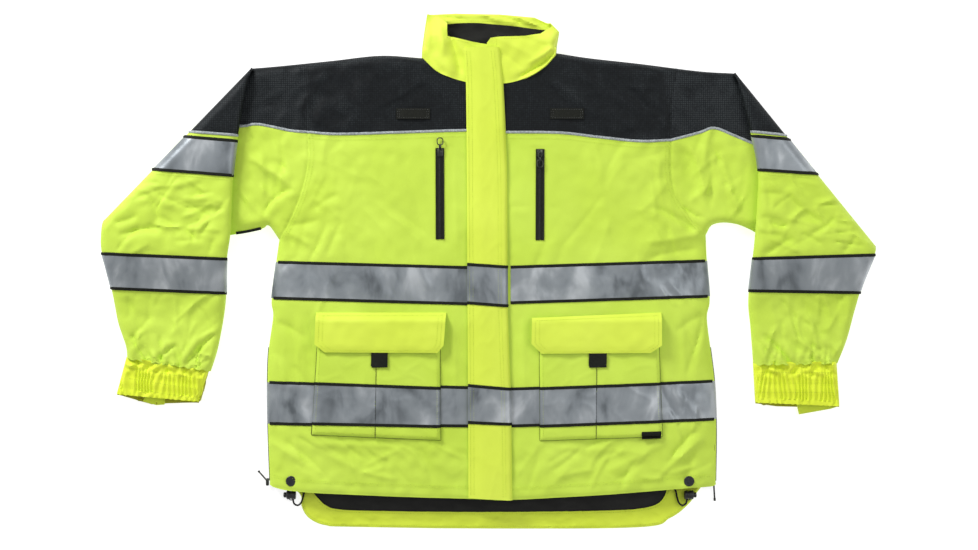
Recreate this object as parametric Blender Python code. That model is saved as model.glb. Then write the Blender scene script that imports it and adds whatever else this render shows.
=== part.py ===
"""High-visibility winter coat, lying on its back with both sleeves folded down.

The origin is on the surface that the coat lies on, under its middle.
+X is towards the wearer's left sleeve, +Y from the hem to the collar, +Z up.
Sizes are in metres. Outlines are written for the wearer's left, and mirrored.
"""
import math

import bmesh
import bpy
from mathutils import Matrix, Vector

LEFT = 1
RIGHT = -1
SIDE_NAMES = {LEFT: "left", RIGHT: "right"}

# Heights of the layers above the surface, from the bottom up.
CLOTH = 0.0020
TAPE = 0.0007
SEAM_GAP = 0.0004
BACK_LOW = 0.0011
LINING_LOW = 0.0035
LINING_THICK = 0.0015
FRONT_LOW = 0.0288
FRONT_TOP = FRONT_LOW + CLOTH
TRIM_LOW = FRONT_TOP + SEAM_GAP
POCKET_LOW = 0.0325
POCKET_TOP = 0.0410
FLAP_LOW = POCKET_TOP + SEAM_GAP
STORM_LOW = 0.0364

# The front falls away towards the side seams: two straight slopes.
SLOPE_ONE_X = 0.270
SLOPE_TWO_X = 0.330
SLOPE_ONE = 0.100
SLOPE_TWO = 0.333

# The front opens along a straight fold from beside the neck to the vent's top.
FOLD_NECK = Vector((0.1150, 0.3500, 0.0))
FOLD_VENT = Vector((0.3555, -0.1220, 0.0))

# The armhole, drawn as the straight line where the sleeve starts.
ARM_TOP = (0.3060, 0.3260)
ARM_LOW = (0.3500, 0.0620)

# Corners of the body's outline on the wearer's left, from the yoke seam down.
YOKE_SEAM = [(0.0, 0.2245), (0.1120, 0.2220), (0.2400, 0.2135), (0.3226, 0.2235)]
SIDE_EDGE = [(0.3470, 0.0150), (0.3530, -0.0460), (0.3480, -0.0720), (0.3560, -0.1260),
             (0.3610, -0.2540), (0.3590, -0.3460)]
FRONT_HEM = [(0.3100, -0.3510), (0.0008, -0.3655)]
TAIL = [(0.3220, -0.3580), (0.3020, -0.3880), (0.2500, -0.4120), (0.0, -0.4155)]
SHOULDER = [(0.1150, 0.3500), (0.1600, 0.3430), (0.2400, 0.3340), ARM_TOP]
NECK_SEAM = [(0.0008, 0.3015), (0.0290, 0.3020), (0.0640, 0.3130), (0.0880, 0.3290),
             (0.1070, 0.3500)]

CENTRE_GAP = 0.0008
WALL = 0.0025

SLEEVE_WALL = 0.0018
SLEEVE_EDGE = 0.0080
UPPER_SLEEVE_TOP = 0.0260
FOLDED_LOW = 0.0264
FOLDED_TOP = 0.0470
CUFF_TOP = 0.0210

# Each sleeve from its fold to the cuff seam: inner edge, outer edge, bottom, top.
SLEEVE_SECTIONS = {
    LEFT: [((0.3925, 0.3185), (0.6180, 0.0400), FOLDED_LOW, FOLDED_TOP),
           ((0.4260, 0.1700), (0.6165, 0.0365), FOLDED_LOW, FOLDED_TOP),
           ((0.4205, 0.0320), (0.6140, 0.0320), FOLDED_LOW, FOLDED_TOP),
           ((0.4140, -0.0650), (0.5860, -0.0650), 0.0010, 0.0230),
           ((0.4210, -0.1380), (0.5600, -0.1440), 0.0010, 0.0230)],
    RIGHT: [((-0.3815, 0.3265), (-0.6200, 0.0800), FOLDED_LOW, FOLDED_TOP),
            ((-0.4100, 0.1700), (-0.6215, 0.0640), FOLDED_LOW, FOLDED_TOP),
            ((-0.4140, 0.0400), (-0.6220, 0.0400), FOLDED_LOW, FOLDED_TOP),
            ((-0.4265, -0.0650), (-0.6025, -0.0650), 0.0010, 0.0230),
            ((-0.4450, -0.1680), (-0.5860, -0.1400), 0.0010, 0.0230)],
}
ELBOW_BAND = {LEFT: (0.0250, -0.0325), RIGHT: (0.0265, -0.0315)}
UPPER_BAND = {
    LEFT: [(0.4215, 0.2145), (0.4755, 0.2110), (0.5200, 0.1565), (0.4290, 0.1605)],
    RIGHT: [(-0.4060, 0.2070), (-0.4865, 0.2135), (-0.5350, 0.1635), (-0.4115, 0.1530)],
}
CUFF_SECTIONS = {
    LEFT: [((0.4240, -0.1385), (0.5585, -0.1445)), ((0.4270, -0.2060), (0.5620, -0.2090))],
    RIGHT: [((-0.4460, -0.1690), (-0.5860, -0.1410)), ((-0.4585, -0.2090), (-0.6000, -0.1870))],
}
CUFF_TABS = {
    LEFT: [(0.4925, -0.2093), (0.5610, -0.2108), (0.5610, -0.2190), (0.4985, -0.2310)],
    RIGHT: [(-0.5600, -0.1952), (-0.5230, -0.2010), (-0.5245, -0.2155), (-0.5575, -0.2100)],
}
TAB_LOW = 0.0040

CHEST_ZIP_X = 0.0798
CHEST_ZIP_TOP = 0.1970
CHEST_ZIP_LOW = 0.0500
STORM_HINGE_TOP = (0.0245, 0.3740)
STORM_HINGE_LOW = (0.0355, -0.3640)
STORM_FOOT_Z = FRONT_TOP + 0.0006
FLAP_HINGE = Vector((0.1715, -0.0655, FRONT_TOP + 0.0006))
VENT_ZIP_X = 0.3530
LOCK_X = 0.3200
LOCK_Y = -0.3535
LOCK_Z = 0.0120
CORD_RADIUS = 0.0015


def flat(height):
    """A height that is the same everywhere."""
    return lambda x, y: height


def sloped(height):
    """A height that falls away with the front towards the side seams."""
    def at(x, y):
        first = min(max(abs(x) - SLOPE_ONE_X, 0.0), SLOPE_TWO_X - SLOPE_ONE_X) * SLOPE_ONE
        second = max(abs(x) - SLOPE_TWO_X, 0.0) * SLOPE_TWO
        return height - first - second
    return at


def ramp(y_low, z_low, y_high, z_high):
    """A height that rises in a straight line between two places along Y."""
    def at(x, y):
        share = min(max((y - y_low) / (y_high - y_low), 0.0), 1.0)
        return z_low + share * (z_high - z_low)
    return at


def both(height, rise):
    """The same surface, one thickness higher."""
    return lambda x, y: height(x, y) + rise


def paint(name, colour, roughness=0.8, metallic=0.0):
    """A plain material."""
    made = bpy.data.materials.new(name)
    made.use_nodes = True
    shader = made.node_tree.nodes["Principled BSDF"]
    shader.inputs["Base Color"].default_value = (*colour, 1.0)
    shader.inputs["Roughness"].default_value = roughness
    shader.inputs["Metallic"].default_value = metallic
    return made


def emit(name, made, material, side=LEFT):
    """Turn a bmesh into a named object, mirrored for the wearer's right."""
    for corner in made.verts:
        corner.co.x *= side
    bmesh.ops.recalc_face_normals(made, faces=made.faces)
    mesh = bpy.data.meshes.new(name)
    made.to_mesh(mesh)
    made.free()
    mesh.materials.append(material)
    thing = bpy.data.objects.new(name, mesh)
    bpy.context.scene.collection.objects.link(thing)
    return thing


def cut_sheet(outline, folds, keep):
    """A flat face with the given outline, split along folds and trimmed."""
    sheet = bmesh.new()
    sheet.faces.new([sheet.verts.new((x, y, 0.0)) for x, y in outline])
    for point, normal in folds:
        parts = sheet.verts[:] + sheet.edges[:] + sheet.faces[:]
        bmesh.ops.bisect_plane(sheet, geom=parts, plane_co=point, plane_no=normal, dist=1e-6)
    if keep is not None:
        point, normal = keep
        parts = sheet.verts[:] + sheet.edges[:] + sheet.faces[:]
        bmesh.ops.bisect_plane(sheet, geom=parts, plane_co=point, plane_no=normal, dist=1e-6,
                               clear_outer=True)
    bmesh.ops.recalc_face_normals(sheet, faces=sheet.faces)
    return sheet


def solid(name, outline, low, high, material, side=LEFT, folds=(), keep=None):
    """A closed solid between two height formulas, over an outline in XY."""
    sheet = cut_sheet(outline, folds, keep)
    made = bmesh.new()
    under = {}
    over = {}
    for corner in sheet.verts:
        x, y = corner.co.xy
        under[corner] = made.verts.new((x, y, low(x, y)))
        over[corner] = made.verts.new((x, y, high(x, y)))
    for face in sheet.faces:
        made.faces.new([over[corner] for corner in face.verts])
        made.faces.new([under[corner] for corner in reversed(face.verts)])
    for edge in sheet.edges:
        if edge.is_boundary:
            first, second = edge.verts
            made.faces.new((under[first], under[second], over[second], over[first]))
    sheet.free()
    return emit(name, made, material, side)


SIDE_FOLDS = [(Vector((SLOPE_ONE_X, 0, 0)), Vector((1, 0, 0))),
              (Vector((SLOPE_TWO_X, 0, 0)), Vector((1, 0, 0)))]


def front_sheet(name, outline, low, thickness, material, side, keep=None):
    """A layer that follows the front's slopes."""
    height = sloped(low)
    return solid(name, outline, height, both(height, thickness), material, side,
                 SIDE_FOLDS, keep)


def fold_cut(inside):
    """Where to trim a sheet at the front's fold line, and which side goes."""
    along = (FOLD_VENT - FOLD_NECK).normalized()
    outward = Vector((-along.y, along.x, 0.0))
    half_gap = outward * (SEAM_GAP / 2)
    if inside:
        return FOLD_NECK - half_gap, outward
    return FOLD_NECK + half_gap, -outward


def shifted(points, dx, dy):
    """The same outline, moved."""
    return [(x + dx, y + dy) for x, y in points]


def mirrored(points):
    """An outline's left half, completed with its mirror image."""
    return points + [(-x, y) for x, y in reversed(points) if x > 0]


def flattened_ring(first, second, low, high, inset):
    """Six corners of a flattened tube between its two edges."""
    start = Vector((*first, 0.0))
    end = Vector((*second, 0.0))
    along = (end - start).normalized()
    middle = Vector((0.0, 0.0, (low + high) / 2))
    top = Vector((0.0, 0.0, high - inset))
    bottom = Vector((0.0, 0.0, low + inset))
    near = start + along * (inset * 1.3)
    far = end - along * (inset * 1.3)
    bend = along * SLEEVE_EDGE
    return [near + middle, near + bend + top, far - bend + top,
            far + middle, far - bend + bottom, near + bend + bottom]


def tube(name, sections, material, wall=SLEEVE_WALL, grow=0.0):
    """A hollow flattened tube through its sections, open at both ends."""
    made = bmesh.new()
    skins = []
    for inset in (-grow, wall - grow):
        rings = []
        for first, second, low, high in sections:
            ring = flattened_ring(first, second, low, high, inset)
            rings.append([made.verts.new(corner) for corner in ring])
        skins.append(rings)
    sides = len(skins[0][0])
    for rings in skins:
        for lower, upper in zip(rings, rings[1:]):
            for k in range(sides):
                nxt = (k + 1) % sides
                made.faces.new((lower[k], lower[nxt], upper[nxt], upper[k]))
    for end in (0, -1):
        outer, inner = skins[0][end], skins[1][end]
        for k in range(sides):
            nxt = (k + 1) % sides
            made.faces.new((outer[k], outer[nxt], inner[nxt], inner[k]))
    return emit(name, made, material)


def box_outline(x_low, x_high, y_low, y_high):
    """The four corners of an upright rectangle."""
    return [(x_low, y_low), (x_high, y_low), (x_high, y_high), (x_low, y_high)]


def carve(target, *cutters):
    """Cut solids out of another, and hide the cutters."""
    for cutter in cutters:
        cutter.hide_render = True
        cutter.display_type = "WIRE"
        cut = target.modifiers.new("hollow_out", "BOOLEAN")
        cut.operation = "DIFFERENCE"
        cut.solver = "EXACT"
        cut.object = cutter
    return target


def joint_at(name, place, parent=None):
    """An empty on a joint's axis, for its moving pieces to hang from."""
    empty = bpy.data.objects.new(name, None)
    empty.location = place
    empty.empty_display_size = 0.03
    bpy.context.scene.collection.objects.link(empty)
    if parent is not None:
        hang(parent, [empty])
    return empty


def hang(parent, pieces):
    """Make pieces follow an empty without moving them."""
    bpy.context.view_layer.update()
    for piece in pieces:
        piece.parent = parent
        piece.matrix_parent_inverse = parent.matrix_world.inverted()


def label(name, side):
    """A node's name with its side."""
    return f"{name}_{SIDE_NAMES[side]}"


def back_pieces(cloth, black, silver):
    """Back panel, yoke, lining, bands and collar: everything that lies flat."""
    lower = shifted(YOKE_SEAM, 0.0, -SEAM_GAP)
    panel = lower + [(ARM_LOW[0] - SEAM_GAP, ARM_LOW[1])] + SIDE_EDGE + TAIL
    solid("back_panel", mirrored(panel), flat(BACK_LOW), flat(BACK_LOW + CLOTH), cloth)
    yoke = YOKE_SEAM + SHOULDER[::-1] + [(0.1020, 0.3420), (0.0, 0.3420)]
    solid("back_yoke", mirrored(yoke), flat(0.0), flat(CLOTH), black)
    lining = [(0.0, 0.3300), (0.1150, 0.3380), (0.2900, 0.3180), (0.3350, 0.0600),
              (0.3350, -0.3300), (0.2900, -0.3800), (0.0, -0.3860)]
    solid("back_lining", mirrored(lining), flat(LINING_LOW), flat(LINING_LOW + LINING_THICK), black)
    chest = [(0.0, 0.0120), (0.3450, 0.0120), (0.3490, -0.0460), (0.0, -0.0470)]
    solid("back_chest_band", mirrored(chest), flat(0.0), flat(TAPE), silver)
    hem = [(0.0, -0.1850), (0.3560, -0.1800), (0.3580, -0.2390), (0.0, -0.2440)]
    solid("back_hem_band", mirrored(hem), flat(0.0), flat(TAPE), silver)
    collar = [(0.0, 0.3424), (0.1010, 0.3424), (0.1090, 0.3520), (0.1100, 0.3860),
              (0.0980, 0.4050), (0.0720, 0.4110), (0.0, 0.4165)]
    solid("collar_back", mirrored(collar), flat(0.0), flat(0.0040), cloth)
    loop = solid("hanger_loop", box_outline(-0.0360, 0.0360, 0.3060, 0.3260),
                 flat(0.0054), flat(0.0072), black)
    slot = solid("hanger_slot", box_outline(-0.0300, 0.0300, 0.3110, 0.3210),
                 flat(0.0), flat(0.0200), black)
    carve(loop, slot)


def shoulder(side, black):
    """The front yoke outside the fold, with the shoulder seam's wall below it."""
    outline = SHOULDER + [YOKE_SEAM[3]] + [YOKE_SEAM[2]] + [(0.1860, 0.2171), (0.1120, 0.2220)]
    block = solid(label("shoulder", side), outline, flat(CLOTH + SEAM_GAP), sloped(FRONT_TOP),
                  black, side, SIDE_FOLDS, fold_cut(inside=False))
    under = [(0.0500, 0.3475)] + shifted(SHOULDER, 0.0, -WALL) + [(0.3700, 0.3180),
                                                                (0.3700, 0.1500), (0.0500, 0.1500)]
    room = solid(label("shoulder_room", side), under, flat(-0.0100), sloped(FRONT_LOW),
                 black, side, SIDE_FOLDS)
    return carve(block, room)


def side_front(side, cloth):
    """The front beside the fold, closed down to the back along the side seam."""
    seam = shifted(YOKE_SEAM, 0.0, -SEAM_GAP)
    outline = [seam[1], seam[2], seam[3], ARM_LOW] + SIDE_EDGE[:4] + [(0.1120, -0.1260)]
    block = solid(label("side_front", side), outline, flat(LINING_LOW), sloped(FRONT_TOP),
                  cloth, side, SIDE_FOLDS, fold_cut(inside=False))
    wall = shifted(SIDE_EDGE[:4], -WALL, 0.0)
    under = [(0.0500, 0.2600), (0.4000, 0.2600), (0.4000, ARM_LOW[1]), (0.3450, ARM_LOW[1])]
    under = under + wall + [(0.3535, -0.1600), (0.0500, -0.1600)]
    room = solid(label("side_room", side), under, flat(-0.0100), sloped(FRONT_LOW),
                 cloth, side, SIDE_FOLDS)
    return carve(block, room)


def upper_sleeve(side, cloth):
    """The sleeve from the armhole to its diagonal fold."""
    first, second = SLEEVE_SECTIONS[side][0][:2]
    along = (Vector(second) - Vector(first)).normalized()
    inward = Vector((along.y, -along.x)) * side * SEAM_GAP
    start = Vector(first) + inward
    end = Vector(second) + inward
    top = (side * (ARM_TOP[0] + SEAM_GAP), ARM_TOP[1])
    low = (side * (ARM_LOW[0] + SEAM_GAP), ARM_LOW[1])
    sections = [(top, low, 0.0, UPPER_SLEEVE_TOP), (start, end, 0.0, UPPER_SLEEVE_TOP)]
    return tube(label("upper_sleeve", side), sections, cloth)


def vent_zip(side, trim):
    """The zip along the side vent, standing between the back and the front."""
    outline = box_outline(VENT_ZIP_X, VENT_ZIP_X + WALL, -0.3460, -0.1290)
    low = BACK_LOW + CLOTH + SEAM_GAP
    return solid(label("side_zip", side), outline, flat(low), flat(0.0122), trim, side)


def smooth_route(points, steps):
    """A smooth curve through the points, as evenly many short pieces."""
    route = []
    padded = [points[0] * 2 - points[1]] + points + [points[-1] * 2 - points[-2]]
    for k in range(len(points) - 1):
        a, b, c, d = padded[k:k + 4]
        count = max(2, round((c - b).length / steps))
        for step in range(count):
            t = step / count
            route.append(0.5 * (2 * b + (c - a) * t + (2 * a - 5 * b + 4 * c - d) * t * t
                                + (3 * b - a - 3 * c + d) * t ** 3))
    route.append(points[-1])
    return route


def hem_cord(black):
    """The elastic cord through the hem, with a loop at each cord lock."""
    half = [(0.0, -0.3455, 0.0072), (0.1400, -0.3460, 0.0072), (0.2700, -0.3455, 0.0072),
            (0.2900, -0.3465, 0.0074), (0.2985, -0.3510, 0.0082), (0.3020, -0.3590, 0.0092),
            (0.3050, -0.3665, 0.0104), (0.3105, -0.3698, 0.0114), (0.3155, -0.3670, 0.0118),
            (0.3170, -0.3604, 0.0120)]
    points = [Vector((-x, y, z)) for x, y, z in reversed(half[1:])]
    points = points + [Vector(point) for point in half]
    route = smooth_route(points, 0.0040)
    straight = [point for point in route if abs(point.x) < 0.2650]
    right_loop = [point for point in route if point.x <= -0.2650]
    left_loop = [point for point in route if point.x >= 0.2650]
    track = right_loop + straight[::8] + left_loop
    shape = bpy.data.curves.new("hem_drawcord", "CURVE")
    shape.dimensions = "3D"
    shape.bevel_depth = CORD_RADIUS
    shape.bevel_resolution = 2
    shape.use_fill_caps = True
    line = shape.splines.new("POLY")
    line.points.add(len(track) - 1)
    for spot, point in zip(line.points, track):
        spot.co = (*point, 1.0)
    shape.materials.append(black)
    thing = bpy.data.objects.new("hem_drawcord", shape)
    bpy.context.scene.collection.objects.link(thing)
    return thing


def open_front(side, cloth, black, silver, trim):
    """The half of the front that swings open, with what is sewn flat on it."""
    seam = shifted(YOKE_SEAM, 0.0, -SEAM_GAP)
    seam[0] = (CENTRE_GAP, seam[0][1])
    keep = fold_cut(inside=True)
    panel = seam + [ARM_LOW] + SIDE_EDGE + FRONT_HEM
    yoke = [(CENTRE_GAP, YOKE_SEAM[0][1])] + YOKE_SEAM[1:] + SHOULDER[::-1] + NECK_SEAM[::-1]
    collar = shifted(NECK_SEAM, 0.0, SEAM_GAP * 2)
    collar = collar + [(0.1100, 0.3840), (0.0810, 0.3810), (0.0560, 0.3770), (CENTRE_GAP, 0.3745)]
    chest = [(0.0330, 0.0060), (0.2000, 0.0080), (0.3490, 0.0165), (0.3520, -0.0415),
             (0.2000, -0.0500), (0.0330, -0.0525)]
    hem = [(0.0370, -0.1880), (0.2000, -0.1840), (0.3570, -0.1770), (0.3600, -0.2390),
           (0.2000, -0.2455), (0.0370, -0.2470)]
    zip_side = box_outline(CENTRE_GAP, 0.0180, -0.3640, 0.3735)
    tab = box_outline(0.0960, 0.1500, 0.2440, 0.2610)
    snap = [(0.3190 + 0.0077 * math.cos(k * math.tau / 16),
             -0.3360 + 0.0077 * math.sin(k * math.tau / 16)) for k in range(16)]
    return [
        front_sheet(label("front_panel", side), panel, FRONT_LOW, CLOTH, cloth, side, keep),
        front_sheet(label("front_yoke", side), yoke, FRONT_LOW, CLOTH, black, side, keep),
        front_sheet(label("collar_front", side), collar, FRONT_LOW, CLOTH, cloth, side, keep),
        front_sheet(label("chest_band", side), chest, TRIM_LOW, TAPE, silver, side, keep),
        front_sheet(label("hem_band", side), hem, TRIM_LOW, TAPE, silver, side),
        solid(label("zip_tape", side), zip_side, flat(TRIM_LOW), flat(TRIM_LOW + 0.0018),
              trim, side),
        solid(label("mic_tab", side), tab, flat(TRIM_LOW), flat(TRIM_LOW + 0.0018), black, side),
        front_sheet(label("snap_cap", side), snap, TRIM_LOW, 0.0026, trim, side),
    ]


def chest_pocket_zip(side, trim):
    """The coated tape of the upright chest zip."""
    outline = box_outline(CHEST_ZIP_X - 0.0072, CHEST_ZIP_X + 0.0072, CHEST_ZIP_LOW, CHEST_ZIP_TOP)
    return solid(label("chest_zip", side), outline, flat(TRIM_LOW), flat(TRIM_LOW + 0.0012),
                 trim, side)


def pocket(side, cloth):
    """A cargo pocket, open at its top edge."""
    bag = solid(label("pocket", side), box_outline(0.0790, 0.2720, -0.2670, -0.0860),
                flat(POCKET_LOW), flat(POCKET_TOP), cloth, side)
    room = solid(label("pocket_room", side), box_outline(0.0808, 0.2702, -0.2652, -0.0500),
                 flat(POCKET_LOW + 0.0012), flat(POCKET_TOP - 0.0012), cloth, side)
    return carve(bag, room)


def pocket_flap(side, cloth):
    """The flap over a pocket, rising from its seam to lie on the pocket."""
    outline = [(0.0675, -0.0655), (0.0675, -0.1165), (0.0830, -0.1300), (0.2600, -0.1300),
               (0.2755, -0.1165), (0.2755, -0.0655)]
    height = ramp(-0.0655, FRONT_TOP + 0.0006, -0.0800, FLAP_LOW)
    folds = [(Vector((0, -0.0800, 0)), Vector((0, 1, 0)))]
    return solid(label("pocket_flap", side), outline, height, both(height, CLOTH), cloth,
                 side, folds)


def storm_flap(cloth):
    """The long flap over the main zip, on a low foot along its sewn edge."""
    made = bmesh.new()
    ends = []
    for (hinge_x, hinge_y), free_x in ((STORM_HINGE_TOP, -0.0375), (STORM_HINGE_LOW, -0.0345)):
        profile = [(free_x, STORM_LOW), (free_x, STORM_LOW + CLOTH), (hinge_x, STORM_LOW + CLOTH),
                   (hinge_x, STORM_FOOT_Z), (hinge_x - 0.0030, STORM_FOOT_Z),
                   (hinge_x - 0.0030, STORM_LOW)]
        ends.append([made.verts.new((x, hinge_y, z)) for x, z in profile])
    for corners in ends:
        made.faces.new(corners)
    count = len(ends[0])
    for k in range(count):
        nxt = (k + 1) % count
        made.faces.new((ends[0][k], ends[0][nxt], ends[1][nxt], ends[1][k]))
    return emit("storm_flap", made, cloth)


def folded_sleeve(side, cloth, silver):
    """The sleeve from its fold to the cuff seam, with its two bands."""
    sections = SLEEVE_SECTIONS[side]
    sleeve = tube(label("sleeve", side), sections, cloth)
    (in_a, out_a, low_a, top_a), (in_b, out_b, low_b, top_b) = sections[2:4]
    ring = []
    for y in ELBOW_BAND[side]:
        share = (in_a[1] - y) / (in_a[1] - in_b[1])
        inner = Vector(in_a).lerp(Vector(in_b), share)
        outer = Vector(out_a).lerp(Vector(out_b), share)
        ring.append((inner, outer, low_a + share * (low_b - low_a), top_a + share * (top_b - top_a)))
    elbow = tube(label("elbow_band", side), ring, silver, wall=TAPE, grow=0.0013)
    upper = UPPER_BAND[side]
    low = FOLDED_TOP + SEAM_GAP
    band = solid(label("upper_band", side), upper, flat(low), flat(low + TAPE), silver)
    return [sleeve, elbow, band]


def cuff(side, cloth):
    """The gathered cuff, a flattened ring."""
    sections = [(inner, outer, 0.0, CUFF_TOP) for inner, outer in CUFF_SECTIONS[side]]
    return tube(label("cuff", side), sections, cloth, wall=0.0028)


def slider(name, x_middle, y_low, y_high, low, side, metal, width=0.0085, height=0.0024):
    """The body of a zip slider."""
    outline = [(x_middle - width / 2, y_low), (x_middle + width / 2, y_low),
               (x_middle + width / 2, y_high - 0.0030), (x_middle + width / 4, y_high),
               (x_middle - width / 4, y_high), (x_middle - width / 2, y_high - 0.0030)]
    return solid(name, outline, flat(low), flat(low + height), metal, side)


def cord_lock(side, plastic):
    """A barrel cord lock lying along X, with its sprung button at the outer end."""
    made = bmesh.new()
    bmesh.ops.create_cone(made, segments=16, radius1=0.0065, radius2=0.0065, depth=0.0150,
                          cap_ends=True)
    barrel = emit(label("cord_lock", side), made, plastic)
    barrel.matrix_world = Matrix.Translation((side * LOCK_X, LOCK_Y, LOCK_Z)) @ Matrix.Rotation(
        math.pi / 2, 4, "Y")
    hole = bmesh.new()
    bmesh.ops.create_cone(hole, segments=16, radius1=0.0048, radius2=0.0048, depth=0.0200,
                          cap_ends=True)
    bore = emit(label("lock_bore", side), hole, plastic)
    bore.matrix_world = Matrix.Translation((side * (LOCK_X + 0.0105), LOCK_Y, LOCK_Z)) @ \
        Matrix.Rotation(math.pi / 2, 4, "Y")
    carve(barrel, bore)
    cap = bmesh.new()
    bmesh.ops.create_cone(cap, segments=16, radius1=0.0043, radius2=0.0043, depth=0.0072,
                          cap_ends=True)
    button = emit(label("lock_button", side), cap, plastic)
    button.matrix_world = Matrix.Translation((side * (LOCK_X + 0.0088), LOCK_Y, LOCK_Z)) @ \
        Matrix.Rotation(math.pi / 2, 4, "Y")
    return button


def build_side(side, cloth, black, silver, trim, metal):
    """Everything that comes in a left and a right piece."""
    shoulder(side, black)
    side_front(side, cloth)
    upper_sleeve(side, cloth)
    vent_zip(side, trim)

    front = joint_at(label("front_hinge", side), (side * FOLD_NECK.x, FOLD_NECK.y, FRONT_TOP))
    pieces = open_front(side, cloth, black, silver, trim)
    hang(front, pieces + [chest_pocket_zip(side, trim), pocket(side, cloth)])

    flap_joint = joint_at(label("flap_hinge", side), (side * FLAP_HINGE.x, *FLAP_HINGE.yz), front)
    hang(flap_joint, [pocket_flap(side, cloth)])

    runner = slider(label("chest_slider", side), CHEST_ZIP_X, 0.1840, 0.1960,
                    TRIM_LOW + 0.0016, side, metal)
    pull_z = TRIM_LOW + 0.0016 + 0.0024 + SEAM_GAP
    pull_way = 1 if side == RIGHT else -1
    pull_y = sorted((0.1900, 0.1900 + pull_way * 0.0240))
    outline = box_outline(CHEST_ZIP_X - 0.0028, CHEST_ZIP_X + 0.0028, *pull_y)
    pull = solid(label("chest_pull", side), outline, flat(pull_z), flat(pull_z + 0.0012),
                 metal, side)
    slide_joint = joint_at(label("chest_slide", side), (side * CHEST_ZIP_X, 0.1900, TRIM_LOW), front)
    hang(slide_joint, [runner])
    pull_joint = joint_at(label("pull_hinge", side),
                          (side * CHEST_ZIP_X, 0.1900, pull_z + 0.0006), slide_joint)
    hang(pull_joint, [pull])

    first, second = SLEEVE_SECTIONS[side][0][:2]
    middle = (Vector(first) + Vector(second)) / 2
    arm = joint_at(label("sleeve_fold", side), (*middle, FOLDED_LOW - SEAM_GAP / 2))
    hang(arm, folded_sleeve(side, cloth, silver) + [cuff(side, cloth)])
    tab_points = CUFF_TABS[side]
    tab = solid(label("cuff_tab", side), tab_points, flat(TAB_LOW), flat(TAB_LOW + CLOTH), cloth)
    tab_middle = (Vector(tab_points[0]) + Vector(tab_points[1])) / 2
    tab_joint = joint_at(label("tab_hinge", side), (*tab_middle, TAB_LOW + CLOTH), arm)
    hang(tab_joint, [tab])

    runner = slider(label("side_slider", side), 0.3586, -0.3450, -0.3330, 0.0045, side, metal,
                    width=0.0048, height=0.0070)
    vent = joint_at(label("vent_slide", side), (side * 0.3586, -0.3390, 0.0080))
    hang(vent, [runner])
    press = joint_at(label("button_press", side), (side * (LOCK_X + 0.0088), LOCK_Y, LOCK_Z))
    hang(press, [cord_lock(side, black)])
    return front


def main():
    """Build the whole coat."""
    for thing in list(bpy.data.objects):
        bpy.data.objects.remove(thing, do_unlink=True)
    cloth = paint("yellow_cloth", (0.62, 0.83, 0.11), 0.75)
    black = paint("black_cloth", (0.025, 0.028, 0.030), 0.80)
    silver = paint("silver_tape", (0.30, 0.32, 0.35), 0.35)
    trim = paint("black_trim", (0.012, 0.013, 0.010), 0.55)
    metal = paint("dark_metal", (0.10, 0.10, 0.09), 0.35, 0.8)
    back_pieces(cloth, black, silver)
    hem_cord(black)
    fronts = {side: build_side(side, cloth, black, silver, trim, metal) for side in (LEFT, RIGHT)}
    storm_middle = (Vector(STORM_HINGE_TOP) + Vector(STORM_HINGE_LOW)) / 2
    storm_joint = joint_at("storm_hinge", (*storm_middle, STORM_LOW + CLOTH), fronts[LEFT])
    hang(storm_joint, [storm_flap(cloth)])
    runner = slider("main_slider", 0.0070, 0.3500, 0.3640, TRIM_LOW + 0.0022, RIGHT, metal,
                    width=0.0110)
    main_slide = joint_at("main_slide", (-0.0070, 0.3570, TRIM_LOW), fronts[RIGHT])
    hang(main_slide, [runner])


main()
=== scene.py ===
"""The looks of a high-visibility winter coat: its cloth, tape, zips, cords and stitches.

The coat lies on its back with both sleeves folded down, seen from straight above.
+X is towards the wearer's left sleeve, +Y from hem to collar. All sizes are in metres.
Every cloth piece is a thin closed shell over a height function of x and y, so that
bands, trims, piping and stitches follow the same folds as the cloth they are sewn to.
"""
import math

import bpy
import numpy as np
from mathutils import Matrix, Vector
from mathutils.geometry import delaunay_2d_cdt


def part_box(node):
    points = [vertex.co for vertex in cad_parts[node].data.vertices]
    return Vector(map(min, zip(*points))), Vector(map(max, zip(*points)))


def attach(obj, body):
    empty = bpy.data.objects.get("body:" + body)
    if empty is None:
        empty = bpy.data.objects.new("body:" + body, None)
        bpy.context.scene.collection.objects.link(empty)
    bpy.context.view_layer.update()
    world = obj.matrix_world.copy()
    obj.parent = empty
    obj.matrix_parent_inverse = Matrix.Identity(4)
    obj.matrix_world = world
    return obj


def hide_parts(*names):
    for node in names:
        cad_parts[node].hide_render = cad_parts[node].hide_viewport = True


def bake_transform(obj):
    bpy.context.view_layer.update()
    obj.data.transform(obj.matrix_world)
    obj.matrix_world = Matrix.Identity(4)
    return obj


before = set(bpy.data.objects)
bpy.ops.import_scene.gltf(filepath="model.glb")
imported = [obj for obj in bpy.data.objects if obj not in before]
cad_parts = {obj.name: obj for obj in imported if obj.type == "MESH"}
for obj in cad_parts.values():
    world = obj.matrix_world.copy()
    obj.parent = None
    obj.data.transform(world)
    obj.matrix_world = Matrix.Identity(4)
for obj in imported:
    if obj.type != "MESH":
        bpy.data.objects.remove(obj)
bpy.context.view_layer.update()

LEFT = "left"
RIGHT = "right"
SIGN = {LEFT: 1, RIGHT: -1}
SIDES = (LEFT, RIGHT)

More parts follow.
